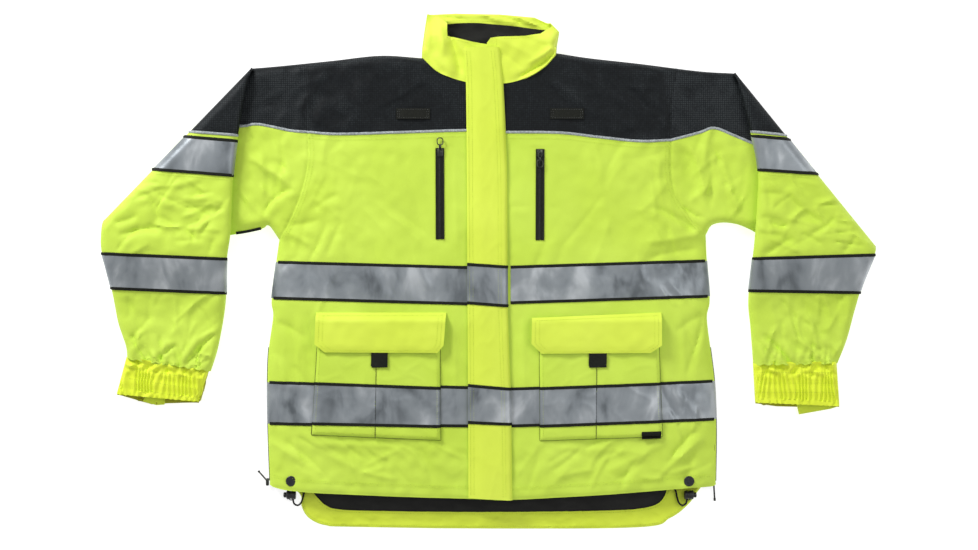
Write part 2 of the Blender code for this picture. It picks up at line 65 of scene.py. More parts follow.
# Heights and thicknesses, from the frame where it has them.
FRONT_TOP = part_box("front_panel_left")[1].z
SLEEVE_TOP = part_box("sleeve_left")[1].z
UPPER_SLEEVE_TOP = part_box("upper_sleeve_left")[1].z
POCKET_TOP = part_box("pocket_left")[1].z
CUFF_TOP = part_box("cuff_left")[1].z
FOLD_HEIGHT = 0.0262
SEAM_HEIGHT = 0.0135
FLOOR_GAP = 0.0006
CLOTH = 0.0012
LINING = 0.0008
TAPE = 0.0005
TRIM_WIDTH = 0.0045
GRAIN = 0.0040

# Lines of the body, from the neck outwards and from the shoulder down.
NECK = {
    LEFT: [(0.0008, 0.3015), (0.0290, 0.3020), (0.0640, 0.3130), (0.0880, 0.3290), (0.1070, 0.3510)],
    RIGHT: [(-0.0008, 0.3015), (-0.0350, 0.3030), (-0.0800, 0.3180), (-0.1090, 0.3430)],
}
SHOULDER = {
    LEFT: [(0.1070, 0.3510), (0.1600, 0.3430), (0.2400, 0.3340), (0.3360, 0.3220), (0.3925, 0.3185)],
    RIGHT: [(-0.1090, 0.3430), (-0.1760, 0.3470), (-0.2560, 0.3385), (-0.3400, 0.3300),
            (-0.3815, 0.3265)],
}
ARMHOLE = {
    LEFT: [(0.3000, 0.3265), (0.2920, 0.2700), (0.2900, 0.2105), (0.2895, 0.1700),
           (0.2950, 0.1300), (0.3190, 0.0900), (0.3470, 0.0590)],
    RIGHT: [(-0.3020, 0.3337), (-0.2940, 0.2800), (-0.2930, 0.2235), (-0.2915, 0.1780),
            (-0.3040, 0.1220), (-0.3240, 0.0760), (-0.3390, 0.0510)],
}
ARMHOLE_YOKE = {LEFT: 0.2105, RIGHT: 0.2235}
YOKE = {
    LEFT: [(0.0008, 0.2235), (0.0290, 0.2230), (0.1120, 0.2220), (0.1760, 0.2150), (0.2400, 0.2085),
           (0.2900, 0.2105)],
    RIGHT: [(-0.0008, 0.2265), (-0.0350, 0.2260), (-0.1200, 0.2235), (-0.2400, 0.2200),
            (-0.2930, 0.2235)],
}
SLEEVE_YOKE = {
    LEFT: [(0.2900, 0.2105), (0.3360, 0.2230), (0.3600, 0.2300), (0.3920, 0.2180), (0.4400, 0.2000),
           (0.4875, 0.2012)],
    RIGHT: [(-0.2930, 0.2235), (-0.3200, 0.2260), (-0.3710, 0.2360), (-0.4000, 0.2330),
            (-0.4730, 0.2320)],
}
SIDE = {
    LEFT: [(0.3470, 0.0590), (0.3490, 0.0150), (0.3535, -0.0460), (0.3490, -0.0740), (0.3550, -0.1260),
           (0.3615, -0.1820), (0.3640, -0.2540), (0.3630, -0.3390)],
    RIGHT: [(-0.3390, 0.0510), (-0.3440, 0.0150), (-0.3515, -0.0460), (-0.3490, -0.0720),
            (-0.3560, -0.1260), (-0.3580, -0.1820), (-0.3570, -0.2540), (-0.3540, -0.3390)],
}
HEM = {
    LEFT: [(0.3630, -0.3390), (0.3585, -0.3450), (0.3100, -0.3480), (0.1600, -0.3590),
           (0.0290, -0.3660), (0.0008, -0.3655)],
    RIGHT: [(-0.3540, -0.3390), (-0.3490, -0.3460), (-0.3040, -0.3530), (-0.1600, -0.3600),
            (-0.0320, -0.3640), (-0.0008, -0.3655)],
}
TAIL = [(-0.3480, -0.3300), (-0.3080, -0.3580), (-0.3045, -0.3780), (-0.2965, -0.3940), (-0.2830, -0.4040),
        (-0.2640, -0.4100), (-0.2300, -0.4122),
        (-0.0160, -0.4150), (0.2400, -0.4130), (0.2910, -0.3980), (0.3200, -0.3760), (0.3330, -0.3580),
        (0.3560, -0.3300)]
FACING = [(-0.2960, -0.3300), (-0.2872, -0.3531), (-0.2739, -0.3694), (-0.2635, -0.3782), (-0.2480, -0.3832),
          (-0.2000, -0.3860),
          (-0.0160, -0.3880), (0.1760, -0.3860), (0.2560, -0.3800), (0.2820, -0.3620), (0.2860, -0.3300)]

# The folded sleeves: the fold line, then the outer edge and the inner edge, each from the top.
FOLD = {
    LEFT: [(0.3925, 0.3185), (0.6180, 0.0400)],
    RIGHT: [(-0.3815, 0.3265), (-0.6200, 0.0800)],
}
OUTER = {
    LEFT: [(0.6180, 0.0400), (0.6140, 0.0250), (0.5980, -0.0200), (0.5870, -0.0620), (0.5740, -0.1100),
           (0.5590, -0.1480)],
    RIGHT: [(-0.6200, 0.0800), (-0.6215, 0.0400), (-0.6150, 0.0080), (-0.6070, -0.0320),
            (-0.5990, -0.0800), (-0.5860, -0.1200), (-0.5840, -0.1400)],
}
INNER = {
    LEFT: [(0.3925, 0.3185), (0.4050, 0.2650), (0.4170, 0.2180), (0.4260, 0.1780), (0.4280, 0.1400),
           (0.4240, 0.0700), (0.4190, 0.0150), (0.4150, -0.0450), (0.4190, -0.0900), (0.4235, -0.1500)],
    RIGHT: [(-0.3815, 0.3265), (-0.3930, 0.2700), (-0.4010, 0.2260), (-0.4100, 0.1540), (-0.4140, 0.0660),
            (-0.4210, 0.0150), (-0.4250, -0.0500), (-0.4370, -0.1200), (-0.4490, -0.1600)],
}
SLEEVE_LOW = {
    LEFT: [(0.3470, 0.0590), (0.3600, 0.0760), (0.3970, 0.0760), (0.4700, 0.0500), (0.6180, 0.0400)],
    RIGHT: [(-0.3390, 0.0510), (-0.3560, 0.0740), (-0.3680, 0.0680), (-0.4130, 0.0600), (-0.4700, 0.0600),
            (-0.6200, 0.0800)],
}


def smooth(low, high, value):
    """0 before low, 1 after high, and a smooth step between."""
    share = np.clip((value - low) / (high - low), 0.0, 1.0)
    return share * share * (3.0 - 2.0 * share)


def spline(points, step=GRAIN):
    """A smooth line through the points, as an array of places about one step apart."""
    points = [np.array(point, float) for point in points]
    padded = [2 * points[0] - points[1]] + points + [2 * points[-1] - points[-2]]
    line = []
    for k in range(len(points) - 1):
        a, b, c, d = padded[k:k + 4]
        count = max(1, round(float(np.linalg.norm(c - b)) / step))
        t = np.arange(count)[:, None] / count
        line.append(0.5 * (2 * b + (c - a) * t + (2 * a - 5 * b + 4 * c - d) * t ** 2
                           + (3 * b - a - 3 * c + d) * t ** 3))
    line.append(points[-1][None])
    return np.vstack(line)


def straight(points, step=GRAIN):
    """The straight runs between the points, as places about one step apart."""
    points = [np.array(point, float) for point in points]
    line = []
    for a, b in zip(points, points[1:]):
        count = max(1, round(float(np.linalg.norm(b - a)) / step))
        line.append(a + (b - a) * (np.arange(count)[:, None] / count))
    line.append(points[-1][None])
    return np.vstack(line)


def loop_of(*runs):
    """One closed outline from runs that follow each other, without doubled corners."""
    joined = np.vstack([np.array(run, float) for run in runs])
    gaps = np.linalg.norm(joined - np.roll(joined, 1, axis=0), axis=1)
    return joined[gaps > 1e-5]


def part_of(line, y_high, y_low):
    """The stretch of a line that runs downwards between two heights along Y."""
    line = np.array(line, float)
    keep = (line[:, 1] < y_high - 1e-6) & (line[:, 1] > y_low + 1e-6)
    ends = [(np.interp(-y, -line[:, 1], line[:, 0]), y) for y in (y_high, y_low)]
    return np.vstack([[ends[0]], line[keep], [ends[1]]])


def side_of(line, from_x, to_x):
    """The stretch of a line between two places along X, starting at from_x."""
    line = np.array(line, float)
    if line[0, 0] > line[-1, 0]:
        line = line[::-1]
    low, high = sorted((from_x, to_x))
    keep = (line[:, 0] > low + 1e-6) & (line[:, 0] < high - 1e-6)
    ends = [(x, np.interp(x, line[:, 0], line[:, 1])) for x in (low, high)]
    run = np.vstack([[ends[0]], line[keep], [ends[1]]])
    return run if from_x < to_x else run[::-1]


def distance(x, y, line):
    """How far each place is from a line of straight runs."""
    nearest = np.full(np.shape(x), 10.0)
    for (ax, ay), (bx, by) in zip(line, line[1:]):
        run_x, run_y = bx - ax, by - ay
        share = np.clip(((x - ax) * run_x + (y - ay) * run_y) / (run_x ** 2 + run_y ** 2), 0, 1)
        nearest = np.minimum(nearest, np.hypot(x - ax - share * run_x, y - ay - share * run_y))
    return nearest


def within(x, y, outline):
    """Which places are inside an outline."""
    hit = np.zeros(np.shape(x), bool)
    ends = np.roll(outline, -1, axis=0)
    for (ax, ay), (bx, by) in zip(outline, ends):
        crosses = (ay > y) != (by > y)
        at = ax + (y - ay) * (bx - ax) / (by - ay if by != ay else 1.0)
        hit ^= crosses & (x < at)
    return hit


def area_of(outline):
    """The signed area of an outline."""
    x, y = outline[:, 0], outline[:, 1]
    return 0.5 * float(np.sum(x * np.roll(y, -1) - np.roll(x, -1) * y))


def filled(outline, grain=GRAIN, rows=()):
    """Places and triangles over an outline, with extra rows of places close to its edge."""
    rim = np.array(outline, float)
    if area_of(rim) < 0:
        rim = rim[::-1]
    low, high = rim.min(0), rim.max(0)
    columns = np.arange(low[0], high[0] + grain, grain)
    lines = np.arange(low[1], high[1] + grain, grain * 0.866)
    x, y = np.meshgrid(columns, lines)
    x = x + (np.arange(len(lines)) % 2)[:, None] * grain / 2
    x, y = x.ravel(), y.ravel()
    closed = np.vstack([rim, rim[:1]])
    clear = max(rows, default=0.0) + 0.55 * grain
    keep = within(x, y, rim)
    x, y = x[keep], y[keep]
    keep = distance(x, y, closed) > clear
    places = [rim, np.stack([x[keep], y[keep]], 1)]
    along = np.roll(rim, -1, axis=0) - np.roll(rim, 1, axis=0)
    inward = np.stack([-along[:, 1], along[:, 0]], 1)
    inward = inward / np.linalg.norm(inward, axis=1)[:, None]
    for depth in rows:
        row = rim + inward * depth
        good = within(row[:, 0], row[:, 1], rim)
        good &= distance(row[:, 0], row[:, 1], closed) > 0.9 * depth
        places.append(row[good])
    places = np.vstack(places)
    count = len(rim)
    border = [(k, (k + 1) % count) for k in range(count)]
    made = delaunay_2d_cdt([Vector(place) for place in places], border, [], 1, 1e-7, False)
    places, faces = np.array([tuple(v) for v in made[0]]), np.array(made[2])
    middles = places[faces].mean(1)
    faces = faces[within(middles[:, 0], middles[:, 1], rim)]
    used, faces = np.unique(faces, return_inverse=True)
    return places[used], faces.reshape(-1, 3)


def normals_of(points, faces):
    """The direction that each point's faces look in, on average."""
    total = np.zeros_like(points)
    for k in range(1, faces.shape[1] - 1):
        a, b, c = (points[faces[:, i]] for i in (0, k, k + 1))
        face = np.cross(b - a, c - a)
        for corner in (0, k, k + 1):
            np.add.at(total, faces[:, corner], face)
    return total / np.maximum(np.linalg.norm(total, axis=1), 1e-12)[:, None]


def shell(points, faces, lift, thickness):
    """A closed thin sheet: the given faces, lifted along their normals, and a copy below them."""
    normal = normals_of(points, faces)
    count = len(points)
    both = np.vstack([points + normal * lift, points + normal * (lift - thickness)])
    width = faces.shape[1]
    edges = np.vstack([faces[:, [k, (k + 1) % width]] for k in range(width)])
    keys = {}
    for a, b in edges.tolist():
        keys[(a, b)] = True
    rim = [(a, b) for a, b in keys if (b, a) not in keys]
    under = (faces[:, ::-1] + count).tolist()
    walls = [(b, a, a + count, b + count) for a, b in rim]
    return both, faces.tolist() + under + walls


def waves(seed, longest, count, stretch=(1.0, 1.0)):
    """A smooth field of rises and falls between about -1 and 1, made of seeded waves."""
    draw = np.random.default_rng(seed)
    turn = draw.uniform(0, 2 * math.pi, count)
    length = longest * draw.uniform(0.35, 1.0, count)
    start = draw.uniform(0, 2 * math.pi, count)
    weight = length / np.sqrt(np.sum(length ** 2)) * 1.2

    def at(x, y):
        total = np.zeros(np.shape(x))
        for a, b, c, d in zip(turn, length, start, weight):
            phase = (np.cos(a) * x / stretch[0] + np.sin(a) * y / stretch[1]) * 2 * math.pi / b
            total += d * np.sin(phase + c)
        return total
    return at


def crease(x, y, start, end, width, height, bow=0.0):
    """A fold along a bowed line: a ridge with a shallow dip beside it, or the reverse."""
    run_x, run_y = end[0] - start[0], end[1] - start[1]
    length = math.hypot(run_x, run_y)
    along = ((x - start[0]) * run_x + (y - start[1]) * run_y) / length ** 2
    across = ((y - start[1]) * run_x - (x - start[0]) * run_y) / length
    across = across - bow * 4 * along * (1 - along)
    fade = smooth(0.0, 0.22, along) * smooth(0.0, 0.22, 1 - along)
    crest = 0.72 * width
    ridge = np.exp(-(np.abs(across) / crest) ** 1.3)
    dip = 0.5 * np.exp(-((across + 1.9 * width) / (1.5 * width)) ** 2)
    return height * fade * (ridge - dip)


def scattered(seed, low, high, count, turn, spread, length, width, height):
    """Seeded folds in a region, most of them near one direction."""
    draw = np.random.default_rng(seed)
    folds = []
    for _ in range(count):
        x, y = draw.uniform(low, high)
        angle = turn + draw.normal(0.0, spread)
        reach = length * draw.uniform(0.3, 0.65)
        step = (reach * math.cos(angle), reach * math.sin(angle))
        size = draw.uniform(0.6, 1.3)
        rise = height * draw.choice([-1.0, 1.0]) * draw.uniform(0.5, 1.2)
        folds.append(((x - step[0], y - step[1]), (x + step[0], y + step[1]), width * size, rise,
                      reach * draw.uniform(-0.16, 0.16)))
    return folds


def rolled(height, x, y, rims, reach, foot):
    """The height brought down to foot along the rims, as a quarter round."""
    near = np.ones(np.shape(x))
    for rim in rims:
        near = np.minimum(near, np.clip(distance(x, y, rim) / reach, 0, 1))
    share = np.sqrt(np.clip(1 - (1 - near) ** 2, 0, 1))
    return foot + (height - foot) * share


# The folds in the body's cloth: start, end, width, height and bow of each.
BODY_CREASES = [
    ((-0.364, 0.088), (-0.312, 0.134), 0.0050, -0.0042, 0.010),
    ((-0.396, 0.186), (-0.308, 0.128), 0.0090, 0.0038, 0.004),
    ((-0.352, 0.182), (-0.318, 0.150), 0.0060, -0.0022, 0.003),
    ((-0.334, 0.088), (-0.316, 0.038), 0.0055, -0.0024, 0.002),
    ((-0.330, 0.062), (-0.285, 0.040), 0.0060, 0.0024, 0.003),
    ((-0.325, 0.075), (-0.270, 0.085), 0.0070, -0.0022, -0.003),
    ((-0.288, 0.120), (-0.240, 0.080), 0.0090, 0.0020, 0.004),
    ((-0.250, 0.200), (-0.170, 0.130), 0.0140, 0.0016, 0.008),
    ((-0.150, 0.200), (-0.110, 0.060), 0.0120, -0.0014, 0.006),
    ((-0.336, -0.268), (-0.256, -0.334), 0.0080, -0.0032, 0.004),
    ((-0.300, -0.262), (-0.200, -0.320), 0.0100, 0.0020, -0.006),
    ((-0.342, -0.170), (-0.342, -0.262), 0.0050, -0.0022, 0.002),
    ((-0.320, -0.172), (-0.318, -0.258), 0.0060, 0.0020, -0.002),
    ((-0.300, -0.276), (-0.090, -0.288), 0.0090, 0.0018, 0.004),
    ((-0.310, -0.060), (-0.296, -0.180), 0.0070, 0.0016, 0.003),
    ((-0.348, -0.080), (-0.292, -0.110), 0.0080, -0.0020, 0.004),
    ((-0.060, -0.070), (-0.056, -0.250), 0.0080, 0.0018, 0.002),
    ((-0.056, 0.190), (-0.050, 0.020), 0.0090, 0.0016, -0.003),
    ((0.256, 0.106), (0.334, 0.060), 0.0060, -0.0040, 0.004),
    ((0.236, 0.046), (0.350, 0.066), 0.0120, 0.0036, -0.004),
    ((0.307, 0.106), (0.346, 0.084), 0.0045, -0.0034, -0.003),
    ((0.250, 0.020), (0.340, 0.036), 0.0070, -0.0020, 0.003),
    ((0.318, 0.206), (0.344, 0.112), 0.0075, 0.0042, 0.005),
    ((0.352, 0.210), (0.382, 0.118), 0.0070, -0.0040, 0.006),
    ((0.368, 0.200), (0.402, 0.090), 0.0085, 0.0036, -0.004),
    ((0.354, 0.190), (0.352, 0.096), 0.0055, -0.0026, 0.002),
    ((0.286, 0.150), (0.230, 0.090), 0.0100, 0.0020, 0.006),
    ((0.284, 0.196), (0.220, 0.180), 0.0110, -0.0014, 0.004),
    ((0.150, 0.200), (0.190, 0.040), 0.0160, 0.0016, 0.010),
    ((0.282, -0.312), (0.334, -0.250), 0.0060, -0.0036, 0.003),
    ((0.300, -0.300), (0.346, -0.266), 0.0070, 0.0024, 0.002),
    ((0.296, -0.262), (0.180, -0.320), 0.0110, 0.0018, 0.005),
    ((0.090, -0.284), (0.260, -0.292), 0.0080, 0.0016, 0.003),
    ((0.302, -0.060), (0.312, -0.180), 0.0080, 0.0016, 0.003),
    ((0.050, -0.070), (0.054, -0.250), 0.0080, 0.0016, 0.002),
    ((0.344, -0.070), (0.296, -0.100), 0.0080, -0.0022, -0.004),
]
for part_sign in (-1, 1):
    for number, (near, far, low_y, high_y, how_many, lean, long, wide, tall) in enumerate((
            (0.06, 0.27, -0.03, 0.20, 12, 2.10, 0.110, 0.0080, 0.0011),
            (0.24, 0.34, -0.06, 0.20, 12, 1.20, 0.080, 0.0060, 0.0017),
            (0.05, 0.34, -0.33, -0.27, 20, 2.40, 0.070, 0.0058, 0.0019),
            (0.28, 0.34, -0.26, -0.08, 10, 1.50, 0.070, 0.0055, 0.0018),
            (0.10, 0.38, 0.23, 0.31, 14, 0.90, 0.090, 0.0075, 0.0012),
            (0.33, 0.41, 0.10, 0.22, 12, 2.00, 0.070, 0.0060, 0.0020))):
        ends = sorted((part_sign * near, part_sign * far))
        BODY_CREASES += scattered(50 + 10 * number + part_sign, (ends[0], low_y), (ends[1], high_y), how_many,
                                  math.pi - lean if part_sign > 0 else lean, 0.45, long, wide, tall)
SLEEVE_CREASES = {
    LEFT: [
        ((0.436, -0.098), (0.492, -0.160), 0.0055, -0.0062, 0.003),
        ((0.424, -0.104), (0.464, -0.158), 0.0050, -0.0034, 0.002),
        ((0.470, -0.100), (0.512, -0.134), 0.0070, -0.0030, -0.004),
        ((0.514, -0.136), (0.525, -0.158), 0.0035, -0.0040, 0.001),
        ((0.444, 0.082), (0.478, 0.074), 0.0060, -0.0046, -0.005),
        ((0.476, 0.076), (0.508, 0.102), 0.0055, 0.0036, 0.004),
        ((0.506, 0.060), (0.552, 0.090), 0.0060, -0.0040, -0.006),
        ((0.548, 0.090), (0.580, 0.080), 0.0060, 0.0030, 0.002),
        ((0.426, 0.010), (0.486, 0.054), 0.0080, -0.0040, 0.005),
        ((0.470, 0.135), (0.500, 0.096), 0.0080, 0.0026, 0.004),
        ((0.436, 0.150), (0.446, 0.096), 0.0070, -0.0024, 0.003),
        ((0.584, 0.060), (0.560, 0.030), 0.0080, -0.0030, 0.003),
        ((0.566, -0.040), (0.536, -0.100), 0.0080, 0.0028, 0.004),
        ((0.450, -0.040), (0.470, -0.110), 0.0110, 0.0024, -0.004),
    ],
    RIGHT: [
        ((-0.432, -0.092), (-0.496, -0.160), 0.0060, -0.0062, -0.003),
        ((-0.500, -0.116), (-0.536, -0.148), 0.0045, -0.0040, -0.003),
        ((-0.577, -0.098), (-0.560, -0.146), 0.0050, -0.0044, 0.002),
        ((-0.594, 0.056), (-0.516, 0.070), 0.0070, -0.0044, 0.004),
        ((-0.540, 0.076), (-0.484, 0.072), 0.0055, 0.0034, -0.003),
        ((-0.546, 0.124), (-0.528, 0.076), 0.0070, -0.0034, 0.003),
        ((-0.488, 0.070), (-0.468, 0.048), 0.0050, -0.0034, 0.002),
        ((-0.470, 0.140), (-0.430, 0.090), 0.0090, 0.0026, 0.004),
        ((-0.590, 0.020), (-0.540, 0.052), 0.0080, 0.0030, -0.004),
        ((-0.470, -0.040), (-0.520, -0.110), 0.0100, 0.0026, 0.005),
        ((-0.586, -0.040), (-0.560, -0.100), 0.0080, -0.0026, 0.004),
        ((-0.450, 0.010), (-0.438, 0.056), 0.0060, -0.0026, 0.002),
    ],
}
for part_side, part_sign in SIGN.items():
    for number, (low_y, high_y, how_many, lean, long, wide, tall) in enumerate((
            (0.04, 0.15, 26, 0.25, 0.070, 0.0050, 0.0024),
            (-0.10, -0.04, 14, 1.20, 0.070, 0.0055, 0.0018),
            (-0.15, -0.09, 20, 1.30, 0.060, 0.0050, 0.0026))):
        ends = sorted((part_sign * 0.43, part_sign * 0.59))
        SLEEVE_CREASES[part_side] += scattered(
            170 + 10 * number + part_sign, (ends[0], low_y), (ends[1], high_y), how_many,
            math.pi - lean if part_sign > 0 else lean, 0.45, long, wide, tall)
body_waves = waves(11, 0.150, 26)
small_waves = waves(23, 0.042, 40)
ridge_waves = waves(37, 0.110, 14, stretch=(1.0, 1.6))
sleeve_waves = waves(41, 0.090, 22, stretch=(1.5, 1.0))


def ridged(field):
    """A field turned into narrow folds with soft ground between them."""
    return (1.0 - np.abs(np.clip(field, -1, 1))) ** 3


def puckers(x, y, line, gap=0.0085, reach=0.0100):
    """The small gathers that a seam pulls into the cloth beside it."""
    near = np.exp(-(distance(x, y, line) / reach) ** 1.5)
    drift = small_waves(x * 0.6, y * 0.6)
    return near * np.sin((x + 0.7 * y) * 2 * math.pi / gap + 3.0 * drift)


def body_relief(x, y):
    """The folds of the body's front."""
    loose = smooth(0.10, 0.26, np.abs(x)) * smooth(-0.02, 0.10, y)
    low = smooth(-0.255, -0.300, y)
    total = 0.0009 * body_waves(x, y) + (0.0002 + 0.0003 * loose + 0.0003 * low) * small_waves(x, y)
    total += (0.0002 + 0.0005 * loose + 0.0004 * low) * (ridged(ridge_waves(x, y) * 1.4) - 0.3)
    for start, end, width, height, bow in BODY_CREASES:
        total += crease(x, y, start, end, width, height, bow)
    return total


def front_base(x, y):
    """The front's upper surface before folds and rolled edges."""
    out = np.abs(x)
    lower = 0.10 * np.clip(out - 0.27, 0, 0.06) + 0.26 * np.clip(out - 0.33, 0, 0.1)
    upper = 0.0056 * smooth(0.262, 0.330, out)
    arm = smooth(0.045, 0.085, y)
    return FRONT_TOP - (1 - arm) * lower - arm * upper


BODY_RIMS = {side: [spline(SHOULDER[side]), spline(SIDE[side]), spline(SLEEVE_LOW[side]), spline(FOLD[side])]
             for side in SIDES}
BODY_SEAMS = {side: [spline(ARMHOLE[side]), spline(YOKE[side]), spline(SLEEVE_YOKE[side])]
              for side in SIDES}


def front(side):
    """The height of the body's front and the upper sleeve's, on one side."""
    armhole, yoke, cap = BODY_SEAMS[side]

    def at(x, y):
        under_sleeve = smooth(-0.004, 0.014, distance(x, y, BODY_RIMS[side][3]))
        calm = 1 - smooth(0.395, 0.425, np.abs(x))
        beside_zip = np.abs(np.abs(x) - 0.0798) + 0.5 * (1 - smooth(0.030, 0.050, y) * smooth(0.215, 0.200, y))
        zipped = np.minimum(smooth(0.008, 0.030, beside_zip), smooth(0.012, 0.035, np.abs(x)))
        relief = body_relief(x, y) * calm * under_sleeve * zipped
        relief += 0.00035 * puckers(x, y, armhole) + 0.0002 * puckers(x, y, yoke)
        relief -= 0.0012 * np.exp(-(distance(x, y, armhole) / 0.0026) ** 2)
        relief -= 0.0006 * np.exp(-(distance(x, y, cap) / 0.0030) ** 2)
        hem = 0.0016 * (1 - smooth(0.0, 0.006, distance(x, y, HEM[side])))
        return rolled(front_base(x, y) + relief - hem, x, y, BODY_RIMS[side], 0.0150, SEAM_HEIGHT)
    return at


def back(x, y):
    """The height of the back's outer surface, which looks down."""
    swell = FLOOR_GAP + 0.0004 * (1 + body_waves(x + 0.3, y - 0.2))
    near = np.ones(np.shape(x))
    for side in SIDES:
        for rim in BODY_RIMS[side]:
            near = np.minimum(near, np.clip(distance(x, y, rim) / 0.0120, 0, 1))
    share = np.sqrt(np.clip(1 - (1 - near) ** 2, 0, 1))
    return SEAM_HEIGHT - 0.0004 + (swell - SEAM_HEIGHT) * share


def sleeve_drop(y):
    """0 where the folded sleeve lies on the upper sleeve, 1 where it lies on the floor."""
    return smooth(0.045, -0.075, y)


SLEEVE_RIMS = {side: [spline(FOLD[side]), spline(OUTER[side]), spline(INNER[side])] for side in SIDES}


def sleeve_top(side):
    """The height of the folded sleeve's upper surface."""
    fold, outer, inner = SLEEVE_RIMS[side]

    def at(x, y):
        drop = sleeve_drop(y)
        flat_top = SLEEVE_TOP - 0.0012 - 0.0232 * drop
        relief = 0.0007 * sleeve_waves(x, y) + 0.0004 * small_waves(x, y)
        for start, end, width, height, bow in SLEEVE_CREASES[side]:
            relief += crease(x, y, start, end, width, height, bow)
        banded = smooth(0.034, 0.024, y) * smooth(-0.044, -0.032, y)
        relief *= 1 - 0.75 * np.maximum(smooth(0.140, 0.165, y), banded)
        gather = smooth(-0.105, -0.152, y)
        relief += 0.0017 * gather * np.sin(x * 2 * math.pi / 0.0155 + 2 * small_waves(x, y * 0.5))
        high = np.minimum(flat_top + relief, SLEEVE_TOP + 0.0020)
        middle = 0.0365 - 0.0240 * drop
        body = rolled(high, x, y, [outer, inner], 0.0140, middle)
        near = np.clip(distance(x, y, fold) / 0.0170, 0, 1)
        share = np.sqrt(np.clip(1 - (1 - near) ** 2, 0, 1))
        return FOLD_HEIGHT + (body - FOLD_HEIGHT) * share
    return at


def sleeve_low(side):
    """The height of the folded sleeve's lower surface, which looks down."""
    fold, outer, inner = SLEEVE_RIMS[side]

    def at(x, y):
        drop = sleeve_drop(y)
        low = FOLD_HEIGHT + 0.0008 - 0.0248 * drop
        middle = 0.0361 - 0.0240 * drop
        near = np.minimum(distance(x, y, outer), distance(x, y, inner))
        share = np.sqrt(np.clip(1 - (1 - np.clip(near / 0.0100, 0, 1)) ** 2, 0, 1))
        height = middle + (low - middle) * share
        fold_near = smooth(0.0, 0.012, distance(x, y, fold))
        return FOLD_HEIGHT + 0.0006 + (height - FOLD_HEIGHT - 0.0006) * fold_near
    return at


def lifted_by(height, rise):
    """The same surface, raised."""
    return lambda x, y: height(x, y) + rise


# How each kind of piece is held: the body it rides on, or else kept where it is made with its transform baked in.
def hold_on(body):
    """The piece rides on one body."""
    return lambda piece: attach(piece, body)


def hold_front():
    """The piece lies across the shell and the front half that opens; it stays where it is made, with its transform
    baked in.
    """
    return lambda piece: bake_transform(piece)


def hold_cuff_tab():
    """The tab lies beyond the cuff's rim; it stays where it is made, with its transform baked in."""
    return lambda piece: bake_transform(piece)


def hold_storm(piece):
    """The piece goes with the left front and the storm flap; it stays where it is made, with its transform baked in.
    """
    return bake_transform(piece)


def hold_pocket_flap():
    """The piece goes with the front and the pocket's flap; it stays where it is made, with its transform baked in."""
    return lambda piece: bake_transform(piece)


# Materials. Object coordinates are metres, because every mesh is made in place.
def new_shader(name, colour, roughness, metallic=0.0):
    """A material with its shader's plain values set."""
    made = bpy.data.materials.new(name)
    made.use_nodes = True
    tree = made.node_tree
    body = tree.nodes["Principled BSDF"]
    body.inputs["Base Color"].default_value = (*colour, 1.0)
    body.inputs["Roughness"].default_value = roughness
    body.inputs["Metallic"].default_value = metallic
    return made, tree, body


def node(tree, kind, **values):
    """A node with its properties and unlinked sockets set by name."""
    made = tree.nodes.new(kind)
    for key, value in values.items():
        if hasattr(made, key):
            setattr(made, key, value)
        else:
            made.inputs[key.replace("_", " ").title()].default_value = value
    return made


def place_of(tree, scale=(1.0, 1.0, 1.0)):
    """The place on the object, scaled."""
    source = tree.nodes.new("ShaderNodeTexCoord")
    mapping = tree.nodes.new("ShaderNodeMapping")
    mapping.inputs["Scale"].default_value = scale
    tree.links.new(source.outputs["Object"], mapping.inputs["Vector"])
    return mapping.outputs["Vector"]


def noise(tree, scale, detail=3.0, stretch=(1.0, 1.0, 1.0), twist=0.0):
    """A noise pattern's value."""
    made = tree.nodes.new("ShaderNodeTexNoise")
    made.inputs["Scale"].default_value = scale
    made.inputs["Distortion"].default_value = twist
    made.inputs["Detail"].default_value = detail
    tree.links.new(place_of(tree, stretch), made.inputs["Vector"])
    return made.outputs["Fac"]


def bands(tree, period, direction, distortion=0.0):
    """Even stripes with the given period, across the given axis."""
    made = tree.nodes.new("ShaderNodeTexWave")
    made.bands_direction = direction
    made.inputs["Scale"].default_value = 2 * math.pi / (20 * period)
    made.inputs["Distortion"].default_value = distortion
    tree.links.new(place_of(tree), made.inputs["Vector"])
    return made.outputs["Fac"]


def math_of(tree, operation, first, second):
    """One sum, product or other operation on two values or links."""
    made = tree.nodes.new("ShaderNodeMath")
    made.operation = operation
    for socket, value in zip(made.inputs, (first, second)):
        if isinstance(value, (int, float)):
            socket.default_value = value
        else:
            tree.links.new(value, socket)
    return made.outputs[0]


def ramp(tree, factor, stops):
    """A colour ramp: (position, colour) pairs."""
    made = tree.nodes.new("ShaderNodeValToRGB")
    elements = made.color_ramp.elements
    while len(elements) < len(stops):
        elements.new(0.5)
    for element, (position, colour) in zip(elements, stops):
        element.position = position
        element.color = (*colour, 1.0)
    tree.links.new(factor, made.inputs["Fac"])
    return made.outputs["Color"]


def bump(tree, body, height, strength, depth, under=None):
    """Adds relief to the shader; under is the bump that it goes on top of."""
    made = tree.nodes.new("ShaderNodeBump")
    made.inputs["Strength"].default_value = strength
    made.inputs["Distance"].default_value = depth
    tree.links.new(height, made.inputs["Height"])
    if under is not None:
        tree.links.new(under, made.inputs["Normal"])
    tree.links.new(made.outputs["Normal"], body.inputs["Normal"])
    return made.outputs["Normal"]


def shade(colour, share):
    """The colour made lighter or darker."""
    return tuple(min(1.0, channel * share) for channel in colour)


